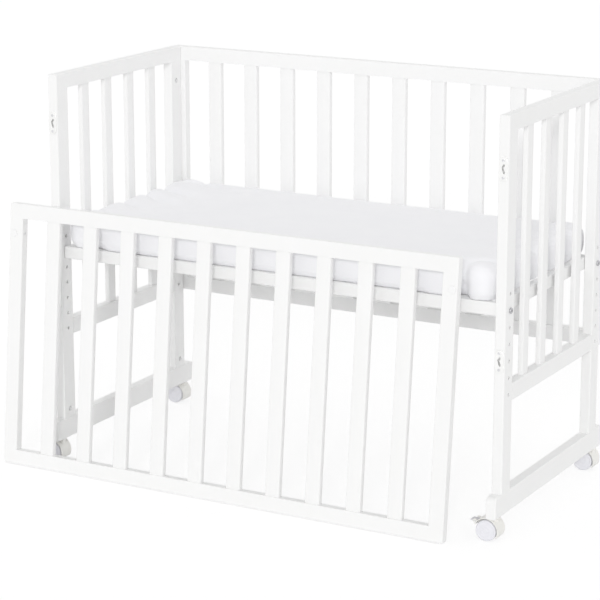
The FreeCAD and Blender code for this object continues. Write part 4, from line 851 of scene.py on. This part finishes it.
def white_paper(name):
    """Matt white paper that glows a little to the eye, so that it shows no horizon."""
    finish, tree = new_finish(name)
    share = node(tree, "ShaderNodeMath", {"operation": "MULTIPLY"},
                 at_0=seen_directly(tree).outputs[0], at_1=GLOW_SHARE)
    paper = node(tree, "ShaderNodeBsdfDiffuse", Color=colour("fcfcfc"))
    glow = node(tree, "ShaderNodeEmission", Strength=GLOW_STRENGTH)
    mixed = node(tree, "ShaderNodeMixShader", at_0=share.outputs[0], at_1=paper.outputs[0],
                 at_2=glow.outputs[0])
    node(tree, "ShaderNodeOutputMaterial", Surface=mixed.outputs[0])
    return finish


floor_mesh = bpy.data.meshes.new("floor")
floor_mesh.from_pydata([(-FLOOR_REACH, -FLOOR_REACH, 0), (FLOOR_REACH, -FLOOR_REACH, 0),
                        (FLOOR_REACH, FLOOR_REACH, 0), (-FLOOR_REACH, FLOOR_REACH, 0)],
                       [], [(0, 1, 2, 3)])
floor = show("floor", floor_mesh)
floor.data.materials.append(white_paper("white_paper_sweep"))

world = bpy.data.worlds.new("studio")
bpy.context.scene.world = world
world.use_nodes = True
tree = world.node_tree
tree.nodes.clear()
way = node(tree, "ShaderNodeTexCoord")
height = node(tree, "ShaderNodeSeparateXYZ", Vector=way.outputs["Generated"])
tent = node(tree, "ShaderNodeMapRange", Value=height.outputs["Z"], To_Min=SKY_LOW,
            To_Max=SKY_HIGH)
level = node(tree, "ShaderNodeMix", {"data_type": "FLOAT"}, at_0=seen_directly(tree).outputs[0],
             at_2=tent.outputs[0], at_3=1.0)
sky = node(tree, "ShaderNodeBackground", Color=(1, 1, 1, 1), Strength=level.outputs[0])
node(tree, "ShaderNodeOutputWorld", Surface=sky.outputs[0])

key = show("key", bpy.data.lights.new("key", "SUN"))
key.data.energy, key.data.angle = KEY_ENERGY, KEY_SPREAD
key.rotation_euler = KEY_WAY.to_track_quat("-Z", "Y").to_euler()

SENSOR, IMAGE_WIDE, FOCAL = 36, 600, 2286.08     # mm, pixels and pixels
EYE = Vector((2085.59, -3777.03, 1442.39)) * MM
YAW, PITCH = math.radians(28.97), math.radians(14.37)
camera = show("camera", bpy.data.cameras.new("camera"))
bpy.context.scene.camera = camera
camera.data.sensor_width, camera.data.lens = SENSOR, SENSOR * FOCAL / IMAGE_WIDE
camera.data.clip_end = CAMERA_REACH
camera.location = EYE
looking = Vector((-math.sin(YAW) * math.cos(PITCH), math.cos(YAW) * math.cos(PITCH),
                  -math.sin(PITCH)))
camera.rotation_euler = looking.to_track_quat("-Z", "Y").to_euler()
bpy.context.scene.view_settings.view_transform = "Standard"
